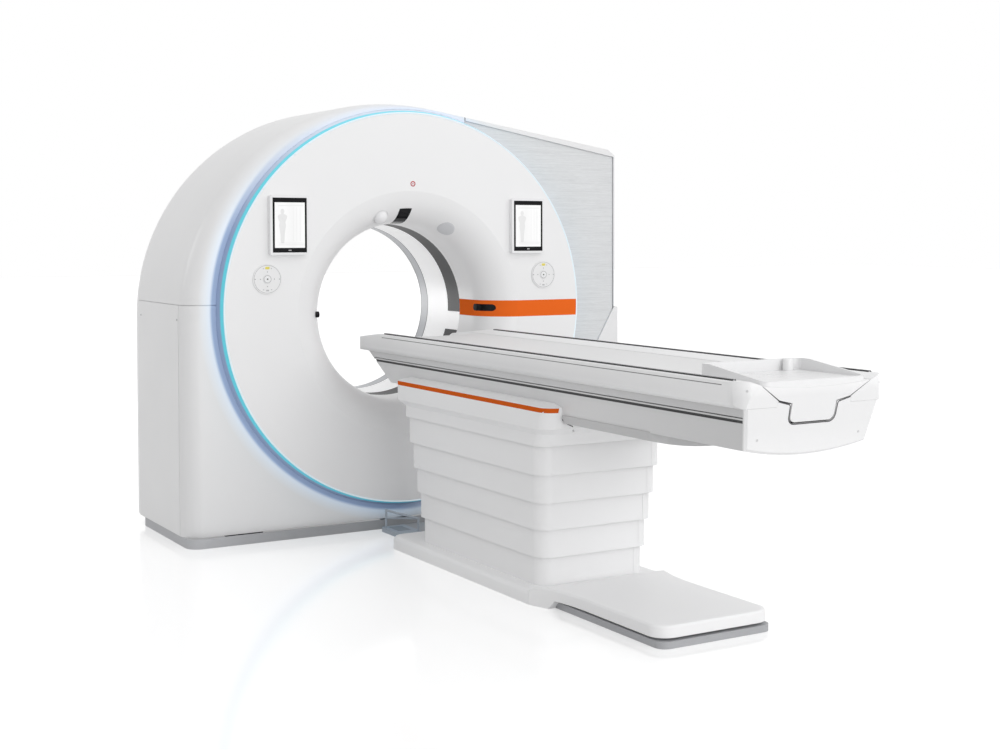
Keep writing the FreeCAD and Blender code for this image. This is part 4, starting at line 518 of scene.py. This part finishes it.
def smoothing_group(limit):
    """Welds a node's faces and keeps an edge sharp only where it turns by more than a limit."""
    tree = bpy.data.node_groups.new("smoothing", "GeometryNodeTree")
    tree.interface.new_socket("Geometry", in_out="INPUT", socket_type="NodeSocketGeometry")
    tree.interface.new_socket("Geometry", in_out="OUTPUT", socket_type="NodeSocketGeometry")
    start = tree.nodes.new("NodeGroupInput")
    end = tree.nodes.new("NodeGroupOutput")
    weld = tree.nodes.new("GeometryNodeMergeByDistance")
    weld.inputs["Distance"].default_value = WELD
    plain = tree.nodes.new("GeometryNodeRemoveAttribute")
    plain.inputs["Name"].default_value = "custom_normal"
    angle = tree.nodes.new("GeometryNodeInputMeshEdgeAngle")
    above = tree.nodes.new("FunctionNodeCompare")
    above.operation = "GREATER_THAN"
    above.inputs[1].default_value = limit
    mark = tree.nodes.new("GeometryNodeStoreNamedAttribute")
    mark.data_type = "BOOLEAN"
    mark.domain = "EDGE"
    mark.inputs["Name"].default_value = "sharp_edge"
    soft = tree.nodes.new("GeometryNodeSetShadeSmooth")
    links = tree.links
    links.new(start.outputs[0], weld.inputs["Geometry"])
    links.new(weld.outputs["Geometry"], plain.inputs["Geometry"])
    links.new(plain.outputs["Geometry"], mark.inputs["Geometry"])
    links.new(angle.outputs["Unsigned Angle"], above.inputs[0])
    links.new(above.outputs["Result"], [s for s in mark.inputs if s.name == "Value" and s.enabled][0])
    links.new(mark.outputs["Geometry"], soft.inputs["Geometry"])
    links.new(soft.outputs["Geometry"], end.inputs[0])
    return tree


def soften(o, group):
    """Smooth shading over the steps of a moulded surface; large flat faces stay flat."""
    o.modifiers.new("smoothing", "NODES").node_group = group
    weighted = o.modifiers.new("weighted", "WEIGHTED_NORMAL")
    weighted.keep_sharp = True
    weighted.mode = "FACE_AREA"


MOULDED = ("front_cover", "orange_band", "bore_windows", "laser_dome", "light_ring", "upper_cover",
           "left_side_door", "front_corner_cover", "right_upper_cover", "right_lower_cover", "rear_cover",
           "bore_tunnel", "scan_window_ring", "tablet_cases", "table_base_cover", "foot_step",
           "shroud_tier_1", "shroud_tier_2", "shroud_tier_3", "shroud_tier_4", "shroud_tier_5", "collar",
           "orange_stripe", "wing_covers", "carriage_body", "end_panel", "underside_cover", "cradle",
           "cradle_handle", "foot_tray", "gantry_plinth")
CREASED = ("front_cover", "orange_band")      # they also keep the crease round the mouth
# nodes whose finish isn't that of their slot
OWN_FINISH = {"table_base_plate": "plate_grey", "carriage_body": "side_white"}
smooth_all = smoothing_group(SMOOTH_BELOW)
smooth_creased = smoothing_group(CREASE_ABOVE)
for name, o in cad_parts.items():
    slot = o.data.materials[0].name.split(".")[0]
    o.data.materials.clear()
    o.data.materials.append(finishes[OWN_FINISH.get(name, slot)].material)
    if name in MOULDED:
        soften(o, smooth_creased if name in CREASED else smooth_all)


# ------------------------------------------------------------------ small pieces

marks = {
    "lit_screen": lit_screen("lit_screen"),
    "figure_grey": plastic("figure_grey", (0.85, 0.85, 0.85), rough=0.3, spread=0.03, edge=0.0),
    "line_grey": plastic("line_grey", (0.42, 0.42, 0.43), rough=0.4, spread=0.05, edge=0.0),
    "mark_dark": plastic("mark_dark", (0.06, 0.06, 0.065), rough=0.4, spread=0.1, edge=0.0),
    "mark_soft": plastic("mark_soft", (0.50, 0.50, 0.51), rough=0.4, spread=0.05, edge=0.0),
    "mark_yellow": plastic("mark_yellow", rgb(226, 214, 96), rough=0.4, spread=0.05, edge=0.0),
    "mark_red": plastic("mark_red", rgb(176, 24, 44), rough=0.4, spread=0.05, edge=0.0),
    "mesh_grey": speckled("mesh_grey", rgb(208, 209, 212), rough=0.5, scale=1200.0),
    "screw_pale": plastic("screw_pale", (0.66, 0.66, 0.665), rough=0.3, edge=0.0),
    "seat_white": plastic("seat_white", (0.78, 0.78, 0.785), rough=0.3, edge=0.0),
    "screw_steel": metal("screw_steel", (0.45, 0.455, 0.465), rough=0.3),
}


def circle(radius, count):
    """Outline of a circle."""
    return ellipse(radius, radius, count)


def ellipse(half_a, half_b, count=40):
    """Outline of an ellipse."""
    turns = [2 * math.pi * k / count for k in range(count)]
    return [(half_a * math.cos(t), half_b * math.sin(t)) for t in turns]


def rounded(width, height, radius, steps=4):
    """Outline of a rounded rectangle."""
    points = []
    for corner, (a, b) in enumerate(((1, 1), (-1, 1), (-1, -1), (1, -1))):
        for k in range(steps + 1):
            turn = math.pi / 2 * (corner + k / steps)
            points.append((a * (width / 2 - radius) + radius * math.cos(turn),
                           b * (height / 2 - radius) + radius * math.sin(turn)))
    return points


def grown(outline, share):
    """An outline made larger or smaller about its origin."""
    return [(a * share, b * share) for a, b in outline]


def shifted(outline, a_shift, b_shift):
    """An outline moved across its surface."""
    return [(a + a_shift, b + b_shift) for a, b in outline]


def flat(place, across, up, out):
    """A flat surface: a runs across it, b up it, and h out from it."""
    origin, a_way, b_way, h_way = Vector(place), Vector(across), Vector(up), Vector(out)
    return lambda a, b, h: origin + a_way * a + b_way * b + h_way * h


def on_face(x, z, y=FACE_Y):
    """On a surface that faces the table."""
    return flat((x, y, z), (1, 0, 0), (0, 0, 1), (0, -1, 0))


def on_mouth(degrees, y):
    """On the bend of the mouth: a runs round the bore, b towards the crease."""
    middle = math.asin((LIP_Y - y) / BEND)

    def place(a, b, h):
        turn = middle + b / BEND
        radius = BEND_AXIS - (BEND + h) * math.cos(turn)
        angle = math.radians(degrees) + a / radius
        return Vector((radius * math.cos(angle), LIP_Y - (BEND + h) * math.sin(turn),
                       BORE_Z + radius * math.sin(angle)))

    return place


def shifted_place(place, a_shift, b_shift):
    """The same surface with its origin elsewhere."""
    return lambda a, b, h: place(a + a_shift, b + b_shift, h)


def on_foot(x, z):
    """On the raked foot end of the table."""
    out = Vector((0, -1, -FOOT_RAKE)).normalized()
    up = Vector((0, -FOOT_RAKE, 1)).normalized()
    return flat((x, FOOT_Y + (TOP_Z - z) * FOOT_RAKE, z), (1, 0, 0), up, out)


def finish_piece(skin, name, finish, body):
    """Turns a skin into a piece with its material, body and slot."""
    bmesh.ops.recalc_face_normals(skin, faces=skin.faces)
    mesh = bpy.data.meshes.new(name)
    skin.to_mesh(mesh)
    skin.free()
    mesh.shade_smooth()
    mesh.set_sharp_from_angle(angle=SMOOTH_BELOW)
    mesh.materials.append(finish.material)
    o = bpy.data.objects.new(name, mesh)
    bpy.context.collection.objects.link(o)
    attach(o, body)


def piece(name, place, loops, finish, body, ring=False):
    """A closed skin over loops of (outline, height), laid on a surface."""
    count = len(loops[0][0])
    skin = bmesh.new()
    rows = [[skin.verts.new(place(a, b, height)) for a, b in outline] for outline, height in loops]
    spans = len(rows) if ring else len(rows) - 1
    for k in range(spans):
        low, high = rows[k], rows[(k + 1) % len(rows)]
        for i in range(count):
            j = (i + 1) % count
            skin.faces.new((low[i], low[j], high[j], high[i]))
    if not ring:
        skin.faces.new(rows[0])
        skin.faces.new(rows[-1])
    finish_piece(skin, name, marks[finish], body)


def tag(name, place, outline, finish, body, low=SKIN_LOW, high=SKIN_HIGH):
    """A thin raised plate with a softened rim."""
    loops = [(outline, low), (outline, high * 0.6), (grown(outline, 0.985), high)]
    piece(name, place, loops, finish, body)


def band(name, place, outer, inner, finish, body):
    """A thin raised ring between two outlines."""
    loops = [(outer, SKIN_LOW), (outer, SKIN_HIGH), (inner, SKIN_HIGH), (inner, SKIN_LOW)]
    piece(name, place, loops, finish, body, ring=True)


def strip(name, place, points, width, finish, body):
    """A thin raised line of a given width along a run of points."""
    edges = ([], [])
    for k, (a, b) in enumerate(points):
        back, ahead = points[max(k - 1, 0)], points[min(k + 1, len(points) - 1)]
        way = Vector((ahead[0] - back[0], ahead[1] - back[1])).normalized() * width / 2
        edges[0].append((a - way.y, b + way.x))
        edges[1].append((a + way.y, b - way.x))
    outline = edges[0] + edges[1][::-1]
    count = len(points)
    skin = bmesh.new()
    lows, highs = [[skin.verts.new(place(a, b, h)) for a, b in outline] for h in (LINE_LOW, SKIN_HIGH)]
    for k in range(len(outline)):
        j = (k + 1) % len(outline)
        skin.faces.new((lows[k], lows[j], highs[j], highs[k]))
    for k in range(count - 1):
        m = len(outline) - 1 - k
        for row in (lows, highs):
            skin.faces.new((row[k], row[k + 1], row[m - 1], row[m]))
    finish_piece(skin, name, marks[finish], body)


def screw(name, place, body, radius=0.0048, finish="screw_steel"):
    """Button head with a round socket."""
    head = circle(radius, 24)
    inner = radius * 0.42
    turns = [math.pi / 3 * (k // 4) + math.pi / 12 * (k % 4) * 0.98 for k in range(24)]
    socket = [(inner * math.cos(t), inner * math.sin(t)) for t in turns]
    loops = [(head, -0.0006), (head, 0.0008), (grown(head, 0.86), 0.0015), (socket, 0.0015),
             (grown(socket, 0.95), 0.0002)]
    piece(name, place, loops, finish, body)


# a plain standing figure, as heights and half widths
FIGURE = ((-0.074, 0.007), (-0.060, 0.009), (-0.036, 0.010), (-0.010, 0.014), (0.002, 0.016), (0.016, 0.013),
          (0.034, 0.020), (0.044, 0.022), (0.050, 0.014), (0.053, 0.005), (0.057, 0.007), (0.063, 0.009),
          (0.070, 0.008), (0.075, 0.004))


def tablet_screen(side, word):
    """The lit part of a tablet's glass: a page with a plain standing figure and a few rules."""
    place = on_face(side * TABLET_X, TABLET_Z, GLASS_Y)
    page = rounded(0.139, 0.199, 0.0015)
    tag(word + "_screen_page", place, page, "lit_screen", "base", high=0.0003)
    outline = [(w, b) for b, w in FIGURE] + [(-w, b) for b, w in reversed(FIGURE)]
    middle = shifted(outline, -0.034, -0.004)
    piece(word + "_screen_figure", place, [(middle, FIGURE_LOW), (middle, FIGURE_HIGH)], "figure_grey",
          "base")
    rules = ((0.006, 0.086, 0.118, 0.0016), (0.006, -0.079, 0.118, 0.0010), (0.006, -0.087, 0.118, 0.0010),
             (0.016, 0.004, 0.0010, 0.150), (0.032, 0.004, 0.0010, 0.150), (0.048, 0.004, 0.0010, 0.150))
    for k, (a, b, width, height) in enumerate(rules):
        tag("%s_screen_rule_%d" % (word, k), place, shifted(rounded(width, height, 0.0004, 2), a, b),
            "figure_grey", "base", low=FIGURE_LOW, high=FIGURE_HIGH)
    tag(word + "_screen_key", place, shifted(rounded(0.014, 0.003, 0.0014), 0.0, -0.111), "line_grey", "base")


def pad_marks(side, word):
    """Printed circle, dots and symbols of a control pad, and the ring and dot of its button."""
    place = on_face(side * PAD_X, PAD_Z, PAD_Y)
    band(word + "_pad_circle", place, circle(0.0615, 64), circle(0.0598, 64), "line_grey", "base")
    spots = [(0.032 * math.cos(t), 0.032 * math.sin(t)) for t in (math.pi / 2 * k for k in range(4))]
    spots += [(0.056, 0.0), (-0.056, 0.0)]
    for k, (a, b) in enumerate(spots):
        tag("%s_pad_dot_%d" % (word, k), place, shifted(circle(0.0024, 16), a, b), "line_grey", "base")
    tag(word + "_pad_symbol_top", place, shifted(rounded(0.021, 0.011, 0.005), 0.0, 0.049), "mark_yellow",
        "base")
    tag(word + "_pad_symbol_low", place, shifted(rounded(0.014, 0.006, 0.0028), 0.0, -0.050), "mark_soft",
        "base")
    for k, turn in enumerate((0.62, 0.38, -0.38, -0.62)):
        spot = (0.050 * math.cos(math.pi * turn), 0.050 * math.sin(math.pi * turn))
        tag("%s_pad_tick_%d" % (word, k), place, shifted(rounded(0.006, 0.003, 0.0014), *spot), "mark_soft",
            "base")
    key = on_face(side * PAD_X, PAD_Z, BUTTON_Y)
    band(word + "_button_ring", key, circle(0.0172, 48), circle(0.0150, 48), "line_grey", word + "_button")
    tag(word + "_button_dot", key, circle(0.0036, 20), "mark_dark", word + "_button")


def woven_board():
    """The woven panel: the board of the CAD, padded forward almost to the edge of its frame."""
    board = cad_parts["fabric_panel"]
    mesh = board.data.copy()
    skin = bmesh.new()
    skin.from_mesh(mesh)
    bmesh.ops.remove_doubles(skin, verts=skin.verts, dist=WELD)
    front = min(v.co.y for v in skin.verts)
    for v in skin.verts:
        if v.co.y < front + 0.001:
            v.co.y = front - PANEL_PADDING
    skin.to_mesh(mesh)
    skin.free()
    if "custom_normal" in mesh.attributes:
        mesh.attributes.remove(mesh.attributes["custom_normal"])
    o = bpy.data.objects.new("woven_board", mesh)
    bpy.context.collection.objects.link(o)
    mesh.shade_flat()
    rim = o.modifiers.new("rim", "BEVEL")
    rim.width = 0.002
    rim.segments = 3
    rim.limit_method = "ANGLE"
    rim.angle_limit = math.radians(50.0)
    rim.harden_normals = True
    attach(o, "base")
    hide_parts("fabric_panel")


woven_board()
for side, word in SIDES:
    tablet_screen(side, word)
    pad_marks(side, word)

SIGN = (0.005, 1.588)           # across and up, on the front cover's face
SPEAKER = (61.0, -0.322)        # degrees round the bore, and along it
DOME = (107.0, -0.346)

sign = on_face(*SIGN)
band("sign_ring", sign, circle(0.0125, 40), circle(0.0080, 40), "mark_red", "base")
tag("sign_dot", sign, circle(0.0030, 20), "mark_red", "base")

oval = ellipse(0.040, 0.045)
loops = [(oval, -0.0006), (oval, 0.0006)]
loops += [(grown(oval, share), 0.0010) for share in (0.97, 0.7, 0.4, 0.1)]
piece("mouth_oval", on_mouth(*SPEAKER), loops, "mesh_grey", "base")
profile = ((0.0405, -0.0010), (0.0405, 0.0008), (0.0385, 0.0016), (0.0362, 0.0010), (0.0362, -0.0010))
piece("dome_seat", on_mouth(*DOME), [(circle(radius, 48), height) for radius, height in profile],
      "seat_white", "base", ring=True)


STRIPE_Z = (0.7190, 0.7360)     # lower and upper edge of the stripe
STRIPE_RADII = (0.0575, 0.0586)     # inside and outside of its end, round the corner
STRIPE_STEPS = 12
FLANGE_X = 0.253                # axis of the round foot corners of the collar's flange
FLANGE_Y = -2.050               # wall of the collar that the flange stands out from
FLANGE_Z = 0.656                # foot of the flange
FLANGE_HEIGHT = 0.081
FLANGE_REACH = 0.072            # how far it stands out at its top
FLANGE_FOOT_SHARE = 0.6         # and the share of that at its foot
FLANGE_CORNER = 0.058


def flange_axis_y(z):
    """Axis of the flange's round corner, which moves towards the foot end as the flange rises."""
    share = FLANGE_FOOT_SHARE + (1.0 - FLANGE_FOOT_SHARE) * (z - FLANGE_Z) / FLANGE_HEIGHT
    return FLANGE_Y - share * FLANGE_REACH + FLANGE_CORNER


def stripe_end(side, word):
    """The last of the orange stripe, round the foot corner of the collar's flange."""
    low_z, high_z = STRIPE_Z
    inside, outside = STRIPE_RADII
    section = ((low_z, inside), (low_z, outside), (high_z, outside), (high_z, inside))
    skin = bmesh.new()
    grid = []
    for k in range(STRIPE_STEPS + 1):
        turn = math.radians(28.0 + 54.0 * k / STRIPE_STEPS)
        places = [(side * (FLANGE_X + radius * math.cos(turn)), flange_axis_y(z) - radius * math.sin(turn), z)
                  for z, radius in section]
        grid.append([skin.verts.new(spot) for spot in places])
    for first, second in zip(grid, grid[1:]):
        for k in range(4):
            skin.faces.new((first[k], first[(k + 1) % 4], second[(k + 1) % 4], second[k]))
    skin.faces.new(grid[0])
    skin.faces.new(grid[-1])
    finish_piece(skin, word + "_stripe_end", finishes["band_orange"], "carriage")


for side, word in SIDES:
    stripe_end(side, word)

WALL_X = 0.266                  # side of the lower housing, at the height of its upper edge
WALL_Z = 0.838
WALL_LEAN = 0.1832              # how far that side leans out, for each unit of height
SEAM = ((-2.056, 0.725), (-2.086, 0.720), (-2.115, 0.684), (-2.174, 0.675))     # along and up
SIDE_SCREW = (-2.172, 0.660)    # along and up too
for side, word in SIDES:
    rise = Vector((side * WALL_LEAN, 0.0, 1.0)).normalized()
    wall = flat((side * WALL_X, 0.0, WALL_Z), (0, 1, 0), rise, (rise.z * side, 0.0, -rise.x * side))
    points = [(y, (z - WALL_Z) / rise.z) for y, z in SEAM]
    strip(word + "_side_seam", wall, points, 0.0040, "mark_dark", "carriage")
    spot = shifted_place(wall, SIDE_SCREW[0], (SIDE_SCREW[1] - WALL_Z) / rise.z)
    screw(word + "_side_screw", spot, "carriage", 0.0050)

# the gasket round the grip: along the top, down, and round the low corners of its opening
GRIP_X = 0.070
GRIP_Z = 0.804
GRIP_RADIUS = 0.024
half_grip = [(0.1440, 0.8545), (0.0990, 0.8430), (0.0950, 0.838), (0.0940, 0.804)]
half_grip += [(GRIP_X + GRIP_RADIUS * math.cos(t), GRIP_Z - GRIP_RADIUS * math.sin(t))
              for t in (math.pi / 12 * k for k in range(1, 7))]
grip = half_grip + [(-x, z) for x, z in reversed(half_grip)]
slope = math.sqrt(1.0 + FOOT_RAKE ** 2)
strip("grip_gasket", on_foot(0.0, TOP_Z), [(x, (z - TOP_Z) * slope) for x, z in grip], 0.0036, "mark_dark",
      "carriage")

COVER_SCREWS = ((0.295, 0.982), (-0.246, 0.985))      # along the bore and up, on the left side
RIGHT_SCREWS_LOWER = 0.055
for k, (y, z) in enumerate(COVER_SCREWS):
    left = flat((SIDE_X, y, z), (0, -1, 0), (0, 0, 1), (-1, 0, 0))
    screw("left_door_screw_%d" % k, left, "base")
    right = flat((RIGHT_X, y, z - RIGHT_SCREWS_LOWER), (0, 1, 0), (0, 0, 1), (1, 0, 0))
    screw("right_cover_screw_%d" % k, right, "base")

END_SCREW = (0.203, 0.739)      # across and up, on the foot end
WING_X = 0.215                  # axis of the wing's round foot corner
WING_RADIUS = 0.075
WING_SCREW_Z = 0.893
WING_SCREW_TURN = math.radians(40.0)
for side, word in SIDES:
    end = on_foot(side * END_SCREW[0], END_SCREW[1])
    screw(word + "_end_screw", end, "carriage", 0.0042, "screw_pale")
    sine, cosine = math.sin(WING_SCREW_TURN), math.cos(WING_SCREW_TURN)
    spot = (side * (WING_X + WING_RADIUS * sine), FOOT_Y + WING_RADIUS * (1 - cosine), WING_SCREW_Z)
    corner = flat(spot, (cosine, side * sine, 0), (0, 0, 1), (side * sine, -cosine, 0))
    screw(word + "_wing_screw", corner, "carriage", 0.0042, "screw_pale")


# ------------------------------------------------------------------ floor, background, light, camera


def stage_floor():
    """White floor that takes a shadow; its own light shows to the camera and in reflections only."""
    mesh = bpy.data.meshes.new("floor")
    half = 40.0
    corners = [(-half, -half, 0), (half, -half, 0), (half, half, 0), (-half, half, 0)]
    mesh.from_pydata(corners, [], [(0, 1, 2, 3)])
    floor = bpy.data.objects.new("floor", mesh)
    bpy.context.collection.objects.link(floor)
    n = Nodes("floor_white")
    n.set(Roughness=0.12, IOR=1.6)
    cloud = n.noise(0.5, 2.0)
    n.base(n.mix(cloud, (0.78, 0.78, 0.78), (0.80, 0.80, 0.80)))
    path = n.add("ShaderNodeLightPath")
    lift = n.add("ShaderNodeEmission")
    lift.inputs["Strength"].default_value = 0.34
    dark = n.add("ShaderNodeEmission")
    dark.inputs["Strength"].default_value = 0.0
    seen = n.math("MAXIMUM", path.outputs["Is Camera Ray"],
                  n.math("MAXIMUM", path.outputs["Is Glossy Ray"], path.outputs["Is Transmission Ray"]))
    pick = n.add("ShaderNodeMixShader")
    n.link(seen, pick.inputs[0])
    n.link(dark.outputs[0], pick.inputs[1])
    n.link(lift.outputs[0], pick.inputs[2])
    total = n.add("ShaderNodeAddShader")
    n.link(n.shader.outputs[0], total.inputs[0])
    n.link(pick.outputs[0], total.inputs[1])
    out = n.tree.nodes["Material Output"]
    n.link(total.outputs[0], out.inputs["Surface"])
    mesh.materials.append(n.material)


def world_light(level):
    """White to the camera and in reflections; it lights the object at its own level."""
    world = bpy.data.worlds.new("studio")
    bpy.context.scene.world = world
    world.use_nodes = True
    tree = world.node_tree
    back = tree.nodes["Background"]
    back.inputs["Color"].default_value = WHITE
    path = tree.nodes.new("ShaderNodeLightPath")
    either = tree.nodes.new("ShaderNodeMath")
    either.operation = "MAXIMUM"
    tree.links.new(path.outputs["Is Camera Ray"], either.inputs[0])
    more = tree.nodes.new("ShaderNodeMath")
    more.operation = "MAXIMUM"
    tree.links.new(path.outputs["Is Glossy Ray"], more.inputs[0])
    tree.links.new(path.outputs["Is Transmission Ray"], more.inputs[1])
    tree.links.new(more.outputs[0], either.inputs[1])
    level_node = tree.nodes.new("ShaderNodeMapRange")
    level_node.inputs["To Min"].default_value = level
    level_node.inputs["To Max"].default_value = 1.0
    tree.links.new(either.outputs[0], level_node.inputs["Value"])
    tree.links.new(level_node.outputs["Result"], back.inputs["Strength"])


def lamp(name, place, target, size, power, spread=180.0):
    """A rectangular lamp that points at a target; its spread is in degrees."""
    light = bpy.data.lights.new(name, "AREA")
    light.shape = "RECTANGLE"
    light.size, light.size_y = size
    light.energy = power
    light.spread = math.radians(spread)
    o = bpy.data.objects.new(name, light)
    bpy.context.collection.objects.link(o)
    o.location = place
    o.rotation_euler = (Vector(target) - Vector(place)).to_track_quat("-Z", "Y").to_euler()


PHOTO_SIZE = (1000.0, 750.0)        # in pixels, as are the two values below
FOCAL_LENGTH = 1505.52
OPTICAL_CENTRE = (571.20, 294.71)
CAMERA_PLACE = (-3.0567, -6.6792, 1.3599)
CAMERA_WAY = (0.5292, 0.8475, -0.0407)


def camera():
    """The camera that was solved from the photograph."""
    width, height = PHOTO_SIZE
    data = bpy.data.cameras.new("camera")
    data.sensor_width = 36.0
    data.sensor_fit = "HORIZONTAL"
    data.lens = FOCAL_LENGTH / width * data.sensor_width
    data.shift_x = (width / 2 - OPTICAL_CENTRE[0]) / width
    data.shift_y = (OPTICAL_CENTRE[1] - height / 2) / width
    data.clip_end = 200.0
    o = bpy.data.objects.new("camera", data)
    bpy.context.collection.objects.link(o)
    forward = Vector(CAMERA_WAY).normalized()
    right = forward.cross(Vector((0, 0, 1))).normalized()
    up = right.cross(forward)
    turn = Matrix((right, up, -forward)).transposed().to_4x4()
    o.matrix_world = Matrix.Translation(CAMERA_PLACE) @ turn
    bpy.context.scene.camera = o


stage_floor()
world_light(0.59)
lamp("key", (3.5, -6.5, 5.5), (0.0, -1.0, 0.6), (8.0, 6.0), 155.0)
lamp("top", (0.0, -1.2, 6.0), (0.0, -1.2, 0.0), (6.0, 6.0), 50.0)
lamp("front", (-0.8, -9.0, 1.7), (0.0, -0.4, 0.8), (4.6, 2.8), 135.0)
lamp("rear", (-0.75, 2.3, 0.85), (0.24, 0.1, 1.17), (0.7, 0.7), 0.55, 50.0)
lamp("side", (-3.8, 2.2, 2.6), (-1.0, 0.0, 1.2), (1.2, 1.2), 18.0)
camera()
bpy.context.scene.view_settings.view_transform = "Standard"
